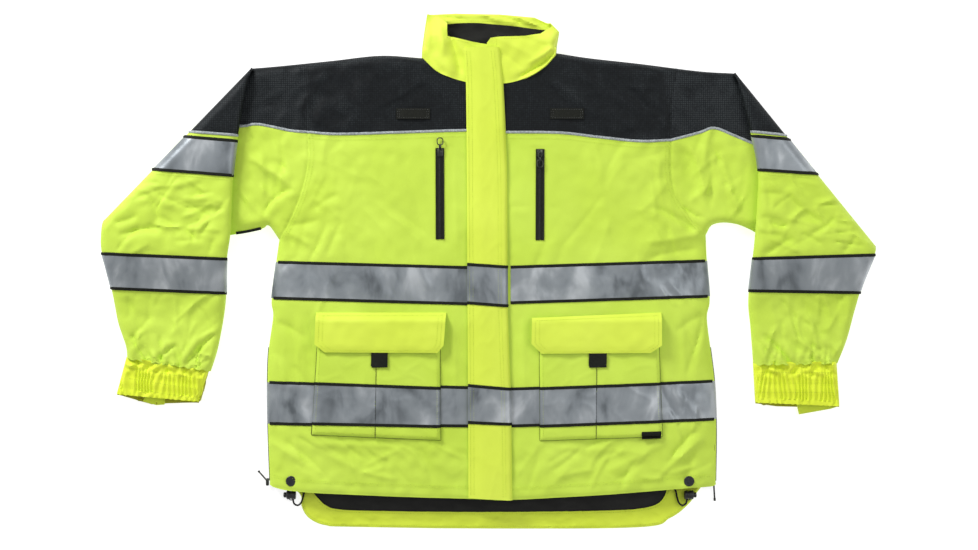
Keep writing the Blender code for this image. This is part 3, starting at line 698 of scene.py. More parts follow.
def oxford(name, colour, period=0.0009):
    """Coated oxford cloth: a fine basket weave, slightly uneven dye and a soft sheen."""
    made, tree, body = new_shader(name, colour, 0.62)
    body.inputs["Sheen Weight"].default_value = 0.08
    body.inputs["Sheen Roughness"].default_value = 0.5
    body.inputs["Specular IOR Level"].default_value = 0.28
    patches = noise(tree, 9.0, 4.0)
    specks = noise(tree, 900.0, 2.0)
    mixed = math_of(tree, "ADD", math_of(tree, "MULTIPLY", patches, 0.75), math_of(tree, "MULTIPLY", specks, 0.25))
    warm = (colour[0] * 0.93, colour[1] * 0.95, colour[2] * 0.72)
    tree.links.new(ramp(tree, mixed, [(0.32, warm), (0.68, shade(colour, 1.05))]), body.inputs["Base Color"])
    weave = math_of(tree, "MULTIPLY", bands(tree, period, "X", 0.4), bands(tree, period, "Y", 0.4))
    fine = bump(tree, body, weave, 0.35, 0.00012)
    bump(tree, body, noise(tree, 130.0, 4.0), 0.30, 0.00060, fine)
    rough = tree.nodes.new("ShaderNodeMapRange")
    rough.inputs["To Min"].default_value = 0.52
    rough.inputs["To Max"].default_value = 0.74
    tree.links.new(specks, rough.inputs["Value"])
    tree.links.new(rough.outputs["Result"], body.inputs["Roughness"])
    return made


def honeycomb(name):
    """Hard-wearing black cloth with a raised honeycomb of small dots."""
    made, tree, body = new_shader(name, (0.022, 0.026, 0.028), 0.55)
    body.inputs["Specular IOR Level"].default_value = 0.12
    cells = tree.nodes.new("ShaderNodeTexVoronoi")
    cells.inputs["Scale"].default_value = 1 / 0.0034
    cells.inputs["Randomness"].default_value = 0.18
    tree.links.new(place_of(tree, (1.0, 1.0, 0.4)), cells.inputs["Vector"])
    dots = cells.outputs["Distance"]
    tone = math_of(tree, "ADD", dots, math_of(tree, "MULTIPLY", noise(tree, 14.0), 0.25))
    stops = [(0.18, (0.046, 0.053, 0.056)), (0.55, (0.014, 0.017, 0.019)), (0.85, (0.007, 0.008, 0.009))]
    tree.links.new(ramp(tree, tone, stops), body.inputs["Base Color"])
    soft = bump(tree, body, noise(tree, 60.0, 4.0), 0.35, 0.0009)
    bump(tree, body, math_of(tree, "SUBTRACT", 1.0, dots), 0.5, 0.00035, soft)
    return made


def reflective(name):
    """Silver reflective tape: fine glass beads on a woven ground, with broad lighter and darker patches painted into
    its colour as reflections.
    """
    made, tree, body = new_shader(name, (0.26, 0.29, 0.31), 0.42, 0.45)
    # Painted reflection: these broad patches, spread by the ramp below from dark to light grey, stand in for the
    # tape's shine across its wrinkles.
    patches = noise(tree, 17.0, 3.0, (1.3, 0.7, 1.0), 0.35)
    beads = noise(tree, 2600.0, 1.0)
    mixed = math_of(tree, "ADD", math_of(tree, "MULTIPLY", patches, 0.86), math_of(tree, "MULTIPLY", beads, 0.14))
    stops = [(0.34, (0.120, 0.137, 0.150)), (0.46, (0.265, 0.293, 0.316)), (0.56, (0.330, 0.360, 0.384)),
             (0.68, (0.560, 0.592, 0.618))]
    tree.links.new(ramp(tree, mixed, stops), body.inputs["Base Color"])
    mesh_lines = math_of(tree, "MULTIPLY", bands(tree, 0.0030, "X"), bands(tree, 0.0030, "Y"))
    soft = bump(tree, body, noise(tree, 45.0, 3.0), 0.35, 0.0010)
    bump(tree, body, mesh_lines, 0.18, 0.00012, soft)
    return made


def ribbed(name, colour, period, roughness=0.55):
    """A narrow woven trim or zip tape with fine ribs."""
    made, tree, body = new_shader(name, colour, roughness)
    body.inputs["Specular IOR Level"].default_value = 0.16
    tone = noise(tree, 420.0, 2.0)
    tree.links.new(ramp(tree, tone, [(0.3, shade(colour, 0.7)), (0.7, shade(colour, 1.5))]),
                   body.inputs["Base Color"])
    weave = math_of(tree, "ADD", bands(tree, period, "X"), bands(tree, period, "Y"))
    bump(tree, body, weave, 0.4, 0.00015)
    return made


def taffeta(name, colour):
    """Smooth lining cloth with a weak shine and shallow crumples."""
    made, tree, body = new_shader(name, colour, 0.42)
    body.inputs["Specular IOR Level"].default_value = 0.20
    tone = noise(tree, 30.0, 5.0, (1.0, 2.0, 1.0))
    tree.links.new(ramp(tree, tone, [(0.3, shade(colour, 0.75)), (0.7, shade(colour, 1.6))]),
                   body.inputs["Base Color"])
    weave = bump(tree, body, bands(tree, 0.0007, "X"), 0.25, 0.0001)
    bump(tree, body, noise(tree, 40.0, 4.0, (1.0, 1.8, 1.0)), 0.55, 0.0016, weave)
    return made


def cast(name, colour, roughness, metallic):
    """Enamelled metal or moulded plastic, worn a little and slightly uneven."""
    made, tree, body = new_shader(name, colour, roughness, metallic)
    tone = noise(tree, 260.0, 5.0)
    tree.links.new(ramp(tree, tone, [(0.35, shade(colour, 0.8)), (0.75, shade(colour, 1.5))]),
                   body.inputs["Base Color"])
    bump(tree, body, noise(tree, 900.0, 3.0), 0.15, 0.00012)
    return made


YELLOW = (0.625, 0.830, 0.094)
LOOKS = {
    "yellow": (oxford("yellow_oxford", YELLOW), "yellow_cloth"),
    "bright": (oxford("yellow_oxford_layered", (0.750, 0.900, 0.092)), "yellow_cloth"),
    # Painted light: the facing's yellow is painted lighter than the body's, to offset the shade that the tail facing
    # gets under the hem; the cuff tabs share it.
    "warm": (oxford("yellow_facing", (0.780, 0.930, 0.072)), "yellow_cloth"),
    # Painted light: the cuff's yellow is painted lighter than the sleeve's, to offset the shade among its gathered
    # ripples.
    "cuff": (oxford("yellow_cuff", (0.800, 0.920, 0.048)), "yellow_cloth"),
    # Painted shade: the cuff's lower layer, seen at its open end, is the yellow cloth coloured dark olive as it looks
    # in shade.
    "inside": (oxford("yellow_cuff_inside", (0.440, 0.440, 0.030)), "yellow_cloth"),
    "black": (honeycomb("black_honeycomb"), "black_cloth"),
    "lining": (taffeta("black_taffeta", (0.013, 0.013, 0.012)), "black_cloth"),
    "silver": (reflective("silver_reflective"), "silver_tape"),
    "trim": (ribbed("black_trim", (0.010, 0.011, 0.008), 0.0008), "black_trim"),
    "zip": (ribbed("coated_zip_tape", (0.012, 0.013, 0.009), 0.0016, 0.33), "black_trim"),
    "piping": (ribbed("grey_piping", (0.340, 0.370, 0.380), 0.0010, 0.40), "silver_tape"),
    "metal": (cast("dark_enamel", (0.060, 0.062, 0.055), 0.32, 0.85), "dark_metal"),
    "plastic": (cast("black_moulding", (0.014, 0.014, 0.015), 0.38, 0.0), "black_plastic"),
    "thread": (ribbed("yellow_thread", (0.560, 0.720, 0.070), 0.0006, 0.6), "yellow_cloth"),
    "dark_thread": (ribbed("black_thread", (0.020, 0.022, 0.022), 0.0006, 0.6), "black_trim"),
    # Painted shade: a dark olive line, the yellow cloth's shade tone, for the crease at a seam.
    "olive_seam_painted_shade": (ribbed("olive_seam_painted_shade", (0.120, 0.150, 0.020), 0.0006, 0.6), "black_trim"),
    "grey_thread": (ribbed("grey_thread", (0.110, 0.115, 0.118), 0.0006, 0.6), "black_trim"),
    "snap": (cast("snap_enamel", (0.032, 0.034, 0.038), 0.34, 0.5), "dark_metal"),
    "cord": (ribbed("elastic_cord", (0.013, 0.013, 0.013), 0.0008, 0.6), "black_trim"),
}


def make_piece(name, points, faces, look, hold, replaces=(), angle=42.0):
    """One mesh object with its material, body and the CAD nodes it stands for."""
    mesh = bpy.data.meshes.new(name)
    mesh.from_pydata(np.asarray(points).tolist(), [], [tuple(face) for face in faces])
    mesh.validate()
    mesh.update()
    mesh.shade_smooth()
    mesh.set_sharp_from_angle(angle=math.radians(angle))
    material, slot = LOOKS[look]
    mesh.materials.append(material)
    piece = bpy.data.objects.new(name, mesh)
    bpy.context.scene.collection.objects.link(piece)
    hold(piece)
    if replaces:
        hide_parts(*replaces)
    return piece


def declare(outline, growth=1.03):
    """Works out a sheet's flat size from its outline: growth is the cloth that its folds and rolled edges take. The
    sizes are neither stored nor returned.
    """
    low, high = outline.min(0), outline.max(0)
    wide, long = (float(size) * math.sqrt(growth) for size in high - low)
    area = abs(area_of(outline)) * growth
    area = min(max(area, 0.31 * wide * long), wide * long)


def sheet(name, outline, height, look, hold, lift=0.0, thick=CLOTH, grain=GRAIN, rows=(), face_down=False,
          replaces=(), growth=1.03):
    """A cloth piece over an outline, as a thin closed shell."""
    places, faces = filled(outline, grain, rows)
    points = np.column_stack([places, height(places[:, 0], places[:, 1])])
    if face_down:
        faces = faces[:, ::-1]
    points, faces = shell(points, faces, lift, thick)
    piece = make_piece(name, points, faces, look, hold, replaces)
    declare(outline, growth)
    return piece


def strip_mesh(line, height, width, lift, thick, columns=3, crown=0.0, shift=0.0, face_down=False):
    """A closed strip along a line on a surface; crown makes its middle stand higher."""
    line = np.asarray(line, float)
    along = np.gradient(line, axis=0)
    along /= np.linalg.norm(along, axis=1)[:, None]
    across = np.stack([along[:, 1], -along[:, 0]], 1)
    shares = np.linspace(-0.5, 0.5, columns + 1)
    places = line[:, None, :] + across[:, None, :] * (shares * width + shift)[None, :, None]
    rise = crown * (1 - (2 * shares) ** 2)
    heights = height(places[..., 0], places[..., 1])
    heights = heights + (-1 if face_down else 1) * rise[None, :]
    points = np.concatenate([places, heights[..., None]], 2).reshape(-1, 3)
    row = columns + 1
    faces = []
    for k in range(len(line) - 1):
        for c in range(columns):
            a = k * row + c
            faces.append((a, a + 1, a + row + 1, a + row))
    faces = np.array(faces)
    looks_up = normals_of(points, faces)[:, 2].sum() > 0
    if looks_up == face_down:
        faces = faces[:, ::-1]
    return shell(points, faces, lift, thick)


def joined(meshes):
    """Several meshes as one list of points and faces."""
    points, faces, count = [], [], 0
    for some_points, some_faces in meshes:
        points.append(np.asarray(some_points))
        faces += [tuple(int(corner) + count for corner in face) for face in some_faces]
        count += len(some_points)
    return np.vstack(points), faces


def strips(name, lines, height, look, hold, width=TRIM_WIDTH, lift=0.0009, thick=0.0010, crown=0.0,
           columns=3, face_down=False, replaces=()):
    """Narrow strips that follow a surface, as one piece."""
    made = [strip_mesh(line, height, width, lift, thick, columns, crown, 0.0, face_down) for line in lines]
    points, faces = joined(made)
    return make_piece(name, points, faces, look, hold, replaces)


STITCH = 0.0026
STITCH_GAP = 0.0012
STITCH_WIDTH = 0.00032


def stitches(name, lines, height, look, hold, lift=0.0012, face_down=False):
    """Rows of single stitches along lines on a surface."""
    sign = -1.0 if face_down else 1.0
    middles, runs = [], []
    for line in lines:
        line = np.asarray(line, float)
        steps = np.linalg.norm(np.diff(line, axis=0), axis=1)
        travelled = np.concatenate([[0], np.cumsum(steps)])
        starts = np.arange(0.5 * STITCH, travelled[-1] - STITCH, STITCH + STITCH_GAP)
        for offset in (0.0, STITCH):
            ends = [np.interp(starts + offset, travelled, line[:, axis]) for axis in (0, 1)]
            (middles if offset == 0.0 else runs).append(np.stack(ends, 1))
    first, last = np.vstack(middles), np.vstack(runs)
    half = (first + last) / 2
    across = (last - first)[:, ::-1] * np.array([1, -1])
    across /= np.linalg.norm(across, axis=1)[:, None]
    spots = [first, last, half + across * STITCH_WIDTH, half - across * STITCH_WIDTH, half, half]
    rises = [-0.0003, -0.0003, 0.0, 0.0, 0.00025, -0.0005]
    points = []
    for spot, rise in zip(spots, rises):
        z = height(spot[:, 0], spot[:, 1]) + sign * (lift + rise)
        points.append(np.column_stack([spot, z]))
    points = np.stack(points, 1).reshape(-1, 3)
    pattern = np.array([(0, 4, 2), (2, 4, 1), (1, 4, 3), (3, 4, 0), (0, 2, 5), (2, 1, 5), (1, 3, 5), (3, 0, 5)])
    if not face_down:
        pattern = pattern[:, ::-1]
    faces = (np.arange(len(first)) * 6)[:, None, None] + pattern[None]
    return make_piece(name, points, faces.reshape(-1, 3).tolist(), look, hold, angle=180.0)


def beside(line, offset):
    """The line moved sideways."""
    line = np.asarray(line, float)
    along = np.gradient(line, axis=0)
    along /= np.linalg.norm(along, axis=1)[:, None]
    return line + np.stack([along[:, 1], -along[:, 0]], 1) * offset


def tube_mesh(path, radius, sides=10, closed=False):
    """A round tube along a path in space, with flat caps unless it is a closed ring."""
    path = np.asarray(path, float)
    if closed:
        along = np.roll(path, -1, axis=0) - np.roll(path, 1, axis=0)
    else:
        along = np.gradient(path, axis=0)
    along /= np.linalg.norm(along, axis=1)[:, None]
    up = np.array([0.0, 0.0, 1.0]) if abs(along[0][2]) < 0.9 else np.array([1.0, 0.0, 0.0])
    rings = []
    for spot, run in zip(path, along):
        side = np.cross(run, up)
        side /= np.linalg.norm(side)
        up = np.cross(side, run)
        turns = np.arange(sides) * 2 * math.pi / sides
        rings.append(spot + radius * (np.cos(turns)[:, None] * side + np.sin(turns)[:, None] * up))
    points = np.vstack(rings)
    faces = []
    count = len(path)
    for k in range(count if closed else count - 1):
        for s in range(sides):
            a, b = k * sides + s, k * sides + (s + 1) % sides
            c, d = ((k + 1) % count) * sides + (s + 1) % sides, ((k + 1) % count) * sides + s
            faces.append((a, d, c, b))
    if not closed:
        faces.append(tuple(range(sides)))
        faces.append(tuple(reversed(range((count - 1) * sides, count * sides))))
    return points, faces


def turned(profile, centre, axis="Z", sides=32):
    """A turned solid: (radius, height) pairs from one end to the other, around an axis."""
    turns = np.arange(sides) * 2 * math.pi / sides
    points = []
    for radius, rise in profile:
        ring = np.column_stack([radius * np.cos(turns), radius * np.sin(turns), np.full(sides, rise)])
        points.append(ring)
    points = np.vstack(points)
    if axis == "X":
        points = points[:, [2, 0, 1]]
    faces = []
    for k in range(len(profile) - 1):
        for s in range(sides):
            nxt = (s + 1) % sides
            faces.append((k * sides + s, k * sides + nxt, (k + 1) * sides + nxt, (k + 1) * sides + s))
    faces.append(tuple(reversed(range(sides))))
    faces.append(tuple(range((len(profile) - 1) * sides, len(profile) * sides)))
    return points + np.array(centre), faces


def block_mesh(low, high, soften=0.2):
    """A block with bevelled edges, between two corners."""
    low, high = np.array(low, float), np.array(high, float)
    inset = (high - low).min() * soften
    levels = [(low[2], inset), (low[2] + inset, 0.0), (high[2] - inset, 0.0), (high[2], inset)]
    points, faces = [], []
    for z, step in levels:
        x0, y0, x1, y1 = low[0] + step, low[1] + step, high[0] - step, high[1] - step
        c = inset
        points += [(x0 + c, y0, z), (x1 - c, y0, z), (x1, y0 + c, z), (x1, y1 - c, z),
                   (x1 - c, y1, z), (x0 + c, y1, z), (x0, y1 - c, z), (x0, y0 + c, z)]
    for k in range(3):
        for s in range(8):
            nxt = (s + 1) % 8
            faces.append((k * 8 + s, k * 8 + nxt, (k + 1) * 8 + nxt, (k + 1) * 8 + s))
    faces.append(tuple(reversed(range(8))))
    faces.append(tuple(range(24, 32)))
    return np.array(points), faces


def camera_and_light():
    """The camera straight above, a pale floor, a soft sky and two large lamps."""
    data = bpy.data.cameras.new("camera")
    data.lens = 70.0
    data.sensor_width = 36.0
    eye = bpy.data.objects.new("camera", data)
    eye.location = (-0.0016, -0.0056, 3.0730)
    bpy.context.scene.collection.objects.link(eye)
    bpy.context.scene.camera = eye

    floor_mesh = bpy.data.meshes.new("floor")
    floor_mesh.from_pydata([(-6, -6, 0), (6, -6, 0), (6, 6, 0), (-6, 6, 0)], [], [(0, 1, 2, 3)])
    paint, tree, body = new_shader("pale_floor", (0.60, 0.60, 0.60), 0.9)
    body.inputs["Specular IOR Level"].default_value = 0.0
    body.inputs["Emission Color"].default_value = (1.0, 1.0, 1.0, 1.0)
    body.inputs["Emission Strength"].default_value = 0.74
    tone = noise(tree, 3.0, 2.0)
    tree.links.new(ramp(tree, tone, [(0.3, (0.59, 0.59, 0.59)), (0.7, (0.61, 0.61, 0.61))]),
                   body.inputs["Base Color"])
    floor_mesh.materials.append(paint)
    floor = bpy.data.objects.new("floor", floor_mesh)
    bpy.context.scene.collection.objects.link(floor)

    world = bpy.data.worlds.new("sky")
    bpy.context.scene.world = world
    world.use_nodes = True
    sky = world.node_tree.nodes["Background"]
    sky.inputs["Color"].default_value = (1.0, 1.0, 1.0, 1.0)
    sky.inputs["Strength"].default_value = 0.47
    lamps = (("key", (-1.9, 2.3, 1.7), 1.1, 82.0), ("fill", (1.8, 0.6, 2.6), 1.8, 19.0))
    for name, place, size, power in lamps:
        lamp_data = bpy.data.lights.new(name, "AREA")
        lamp_data.shape = "DISK"
        lamp_data.size = size
        lamp_data.energy = power
        lamp = bpy.data.objects.new(name, lamp_data)
        lamp.location = place
        lamp.rotation_euler = (Vector((0, 0, 0)) - Vector(place)).to_track_quat("-Z", "Y").to_euler()
        bpy.context.scene.collection.objects.link(lamp)
    bpy.context.scene.view_settings.view_transform = "Standard"


# Reflective bands on the body, as their heights along Y at the flap, and at the side.
BODY_BANDS = {
    "chest_band": {LEFT: ((0.0070, 0.0170), (-0.0500, -0.0395)), RIGHT: ((0.0060, 0.0150), (-0.0520, -0.0425))},
    "hem_band": {LEFT: ((-0.1880, -0.1760), (-0.2470, -0.2370)), RIGHT: ((-0.1860, -0.1780), (-0.2470, -0.2440))},
}
BAND_START = {LEFT: 0.0330, RIGHT: -0.0250}
EDGE_ROWS = (0.0009, 0.0022, 0.0042, 0.0070)


def body_outlines(side):
    """The outlines of the front's cloth: body, yoke, and upper sleeve below and above its seam."""
    neck, shoulder, armhole = (spline(part[side]) for part in (NECK, SHOULDER, ARMHOLE))
    yoke, cap, rim, hem = (spline(part[side]) for part in (YOKE, SLEEVE_YOKE, SIDE, HEM))
    seam_y = ARMHOLE_YOKE[side]
    arm_x = armhole[0][0]
    inner_shoulder = side_of(shoulder, shoulder[0][0], arm_x)
    outer_shoulder = side_of(shoulder, arm_x, shoulder[-1][0])
    above = part_of(armhole, armhole[0][1], seam_y)
    below = part_of(armhole, seam_y, armhole[-1][1])
    low = spline(SLEEVE_LOW[side])
    fold = spline(FOLD[side])
    cap_end = cap[-1]
    fold_high = part_of(fold, fold[0][1], cap_end[1])
    fold_low = part_of(fold, cap_end[1], fold[-1][1])
    return {
        "body": loop_of(yoke[:-1], below[:-1], rim[:-1], hem),
        "yoke": loop_of(neck[:-1], inner_shoulder[:-1], above[:-1], yoke[::-1]),
        "cap": loop_of(outer_shoulder[:-1], fold_high[:-1], cap[::-1][:-1], above[::-1][:-1]),
        "arm": loop_of(cap[:-1], fold_low[:-1], low[::-1][:-1], below[::-1][:-1]),
    }


def band_outline(side, name, start_x):
    """A band's outline: its inner end, its top, the body's edge, and its bottom."""
    (top_in, top_out), (low_in, low_out) = BODY_BANDS[name][side]
    edge = part_of(spline(SIDE[side]), top_out, low_out)
    top = straight([(start_x, top_in), edge[0]])
    low = straight([edge[-1], (start_x, low_in)])
    inner = straight([(start_x, low_in), (start_x, top_in)])
    return loop_of(top[:-1], edge[:-1], low[:-1], inner[:-1])


def trims_of(outline_top, outline_low):
    """The centre lines of a band's two black edges."""
    half = TRIM_WIDTH / 2
    result = []
    for line, sign in ((outline_top, -1), (outline_low, 1)):
        line = np.array(line, float)
        result.append(line + np.array([0.0, sign * half]))
    return result


def body_front(side):
    """The front's outer cloth, its lining, the upper sleeve, the bands and the piping."""
    height = front(side)
    hold = hold_front()
    shapes = body_outlines(side)
    shell_hold = hold_on("shell")
    sheet(f"front_cloth_{side}", shapes["body"], height, "yellow", hold, rows=EDGE_ROWS, grain=0.0034,
          replaces=(f"front_panel_{side}", f"side_front_{side}"))
    sheet(f"front_yoke_cloth_{side}", shapes["yoke"], height, "black", hold, rows=EDGE_ROWS, lift=0.0002,
          replaces=(f"front_yoke_{side}", f"shoulder_{side}"))
    sheet(f"sleeve_cap_cloth_{side}", shapes["cap"], height, "black", shell_hold, rows=EDGE_ROWS,
          lift=0.0002, replaces=(f"upper_sleeve_{side}",), growth=1.06)
    sheet(f"upper_sleeve_cloth_{side}", shapes["arm"], height, "yellow", shell_hold, rows=EDGE_ROWS,
          growth=1.06)
    whole = loop_of(spline(NECK[side])[:-1],
                    side_of(spline(SHOULDER[side]), NECK[side][-1][0], ARMHOLE[side][0][0])[:-1],
                    spline(ARMHOLE[side])[:-1], spline(SIDE[side])[:-1], spline(HEM[side])[:-1])
    sheet(f"front_lining_{side}", whole, lifted_by(height, -0.0024), "lining", hold, thick=LINING,
          grain=0.0065)
    for name in BODY_BANDS:
        outline = band_outline(side, name, BAND_START[side])
        sheet(f"{name}_cloth_{side}", outline, height, "silver", hold, rows=EDGE_ROWS, lift=0.0009, thick=TAPE,
              grain=0.0030, replaces=(f"{name}_{side}",), growth=1.02)
        (top_in, top_out), (low_in, low_out) = BODY_BANDS[name][side]
        edge = spline(SIDE[side])
        ends = [part_of(edge, top_out, low_out)[k] for k in (0, -1)]
        lines = [straight([(BAND_START[side], y), end]) for y, end in zip((top_in, low_in), ends)]
        lines = [line[:-1] for line in lines]
        strips(f"{name}_trim_{side}", lines, height, "trim", hold, lift=0.0012, thick=0.0014, crown=0.0002)
    piping = [beside(spline(YOKE[side]), 0.0), ]
    strips(f"yoke_piping_{side}", piping, height, "piping", hold, width=0.0030, lift=0.0009, thick=0.0016,
           crown=0.0011)
    cap = spline(SLEEVE_YOKE[side])
    strips(f"sleeve_piping_{side}", [cap[:int(len(cap) * 0.72)]], height, "piping", shell_hold, width=0.0030,
           lift=0.0009, thick=0.0016, crown=0.0011)
    low = spline(SLEEVE_LOW[side])
    if side == RIGHT:
        edge = low[(low[:, 0] < -0.3640) & (low[:, 0] > -0.4120)] + np.array([0.0, 0.0014])
        strips("sleeve_edge_trim", [edge], height, "trim", shell_hold, width=0.0044, lift=0.0008, thick=0.0012)
    stitch_front(side, height, hold, shell_hold)


def stitch_front(side, height, hold, shell_hold):
    """The topstitching of the front: two rows beside each seam, one along the hem."""
    inward = -SIGN[side]
    yoke = spline(YOKE[side])
    armhole = spline(ARMHOLE[side])
    hem = spline(HEM[side])[2:]
    seam_y = ARMHOLE_YOKE[side]
    below, above = part_of(armhole, seam_y, armhole[-1][1]), part_of(armhole, armhole[0][1], seam_y)
    rows = [beside(yoke, inward * -offset) for offset in (0.0040, 0.0095)]
    stitches(f"yoke_stitches_{side}", rows, height, "thread", hold)
    rows = [below + np.array([-SIGN[side] * offset, 0.0]) for offset in (0.0030, 0.0085)]
    rows.append(hem + np.array([0.0, 0.0170]))
    rows.append(hem + np.array([0.0, 0.0200]))
    centre = straight([(SIGN[side] * 0.0440, 0.2150), (SIGN[side] * 0.0470, -0.3500)])
    stitches(f"front_stitches_{side}", rows, height, "thread", hold)
    rows = [above + np.array([-SIGN[side] * offset, 0.0]) for offset in (0.0030, 0.0085)]
    stitches(f"yoke_dark_stitches_{side}", rows, height, "dark_thread", hold)


def coat_back():
    """The back: outer cloth, black yoke, bands with their trims, and the yoke's piping."""
    shapes = {side: body_outlines(side) for side in SIDES}
    low = {side: loop_of(spline(SLEEVE_YOKE[side])[::-1]) for side in SIDES}
    tail = spline(TAIL)
    sides = {side: spline(SIDE[side]) for side in SIDES}
    arms = {side: spline(SLEEVE_LOW[side]) for side in SIDES}
    seams = {side: np.vstack([spline(YOKE[side])[:-1], spline(SLEEVE_YOKE[side])]) for side in SIDES}
    fold_low = {side: part_of(spline(FOLD[side]), seams[side][-1][1], FOLD[side][1][1]) for side in SIDES}
    fold_high = {side: part_of(spline(FOLD[side]), FOLD[side][0][1], seams[side][-1][1]) for side in SIDES}
    hold = hold_on("shell")
    outline = loop_of(seams[RIGHT][::-1][:-1], seams[LEFT][:-1], fold_low[LEFT][:-1], arms[LEFT][::-1][:-1],
                      sides[LEFT][:-1], tail[::-1], sides[RIGHT][::-1][:-1], arms[RIGHT][:-1],
                      fold_low[RIGHT][::-1][:-1])
    tail_rims = back
    sheet("back_cloth", outline, tail_rims, "yellow", hold, rows=EDGE_ROWS, face_down=True,
          grain=0.0060, replaces=("back_panel",), growth=1.04)
    top = loop_of(spline(SHOULDER[LEFT])[:-1], fold_high[LEFT][:-1], seams[LEFT][::-1][:-1],
                  seams[RIGHT][:-1], fold_high[RIGHT][::-1][:-1], spline(SHOULDER[RIGHT])[::-1][:-1],
                  straight([(-0.1090, 0.3430), (-0.0700, 0.3330), (0.0, 0.3290), (0.0700, 0.3340),
                            (0.1070, 0.3510)])[:-1])
    sheet("back_yoke_cloth", top, back, "black", hold, rows=EDGE_ROWS, face_down=True, grain=0.0060,
          replaces=("back_yoke",), growth=1.06)
    for name in BODY_BANDS:
        ends = {side: part_of(sides[side], BODY_BANDS[name][side][0][1], BODY_BANDS[name][side][1][1])
                for side in SIDES}
        band = loop_of(straight([ends[RIGHT][0], ends[LEFT][0]])[:-1], ends[LEFT][:-1],
                       straight([ends[LEFT][-1], ends[RIGHT][-1]])[:-1], ends[RIGHT][::-1][:-1])
        cad_name = "back_" + name
        sheet(cad_name + "_cloth", band, back, "silver", hold, lift=0.0004, thick=TAPE, face_down=True,
              replaces=(cad_name,), growth=1.02)
        lines = [straight([ends[RIGHT][k] + (0.002, 0), ends[LEFT][k] - (0.002, 0)]) for k in (0, -1)]
        strips(cad_name + "_trim", lines, back, "trim", hold, lift=0.0005, thick=0.0008, face_down=True)
    strips("back_yoke_piping", [np.vstack([seams[RIGHT][::-1][:-1], seams[LEFT]])], back, "piping", hold,
           width=0.0030, lift=0.0004, thick=0.0010, face_down=True)


def lining_height(x, y):
    """The lining's upper surface inside the coat."""
    return 0.0040 + 0.0005 * body_waves(x, y) + 0.0008 * ridged(ridge_waves(x + 0.5, y))


def inside():
    """The lining of the back, and the yellow facing of the drop tail."""
    hold = hold_on("shell")
    inner = {side: spline(SIDE[side]) - np.array([SIGN[side] * 0.010, 0.0]) for side in SIDES}
    tail = spline(TAIL)
    tail_in = tail[(tail[:, 1] < -0.335)]
    top = straight([(-0.3400, 0.0500), (-0.2900, 0.1700), (-0.2900, 0.3200), (-0.1100, 0.3350), (0.0, 0.3200),
                    (0.1100, 0.3350), (0.2900, 0.3150), (0.2900, 0.1700), (0.3400, 0.0550)])
    facing = spline(FACING)
    outline = loop_of(top, inner[LEFT][1:], facing[::-1], inner[RIGHT][::-1][:-1])
    sheet("lining_cloth", outline, lining_height, "lining", hold, thick=LINING, grain=0.0065,
          replaces=("back_lining",))
    ring = loop_of(facing, tail_in[::-1])
    edge = spline(TAIL)

    def facing_height(x, y):
        near = np.clip(distance(x, y, edge) / 0.0045, 0, 1)
        share = np.sqrt(np.clip(1 - (1 - near) ** 2, 0, 1))
        relief = 0.0016 * ridged(small_waves(x, y * 1.6)) + 0.0004 * body_waves(x, y)
        ruck = 0.0012 * np.exp(-((y + 0.4000) / 0.010) ** 2) * small_waves(x * 0.8, y)
        return 0.0014 + (0.0036 + relief + ruck) * share
    # The facing's colour carries painted light against the hem's shade.
    sheet("tail_facing_cloth", ring, facing_height, "warm", hold, rows=(0.0009, 0.0022, 0.0040),
          thick=LINING, grain=0.0035, growth=1.1)
    rows = [beside(facing, offset) for offset in (0.0030,)]
    stitches("tail_stitches", [beside(edge, -0.0045), rows[0]], facing_height, "thread", hold, lift=0.0009)


# Where the folded sleeve's cloth changes: inner end and outer end of each line across it.
SLEEVE_LINES = {
    LEFT: {"seam": ((0.4165, 0.2230), (0.4770, 0.2170)), "strip": ((0.4200, 0.2160), (0.4830, 0.2100)),
           "upper_low": ((0.4280, 0.1620), (0.5270, 0.1555)), "upper_join": 0.4400,
           "elbow_top": ((0.4190, 0.0205), (0.6130, 0.0265)), "elbow_low": ((0.4160, -0.0305), (0.5940, -0.0335)),
           "cuff": ((0.4235, -0.1500), (0.5590, -0.1480))},
    RIGHT: {"seam": ((-0.4030, 0.2170), (-0.4790, 0.2230)), "strip": ((-0.4050, 0.2080), (-0.4860, 0.2150)),
            "upper_low": ((-0.4110, 0.1530), (-0.5430, 0.1630)), "upper_join": -0.4230,
            "elbow_top": ((-0.4210, 0.0200), (-0.6180, 0.0285)), "elbow_low": ((-0.4225, -0.0345), (-0.6080, -0.0265)),
            "cuff": ((-0.4490, -0.1600), (-0.5840, -0.1400))},
}


def across(side, name, step=GRAIN):
    """A line across the folded sleeve, from its inner edge to its outer one."""
    (in_x, in_y), (out_x, out_y) = SLEEVE_LINES[side][name]
    outside = np.vstack([spline(FOLD[side])[:-1], spline(OUTER[side])])
    inner = part_of(spline(INNER[side]), in_y, in_y - 0.01)[0]
    outer = part_of(outside, out_y, out_y - 0.01)[0]
    return straight([inner, outer], step)


def sleeve_zone(side, top, low):
    """The outline of the folded sleeve's cloth between two lines across it."""
    outside = np.vstack([spline(FOLD[side])[:-1], spline(OUTER[side])])
    inside_edge = spline(INNER[side])
    start = np.array([FOLD[side][0]]) if top is None else top
    outer = part_of(outside, start[-1][1], low[-1][1])
    inner = part_of(inside_edge, start[0][1], low[0][1])
    return loop_of(start[:-1], outer[:-1], low[::-1][:-1], inner[::-1][:-1])


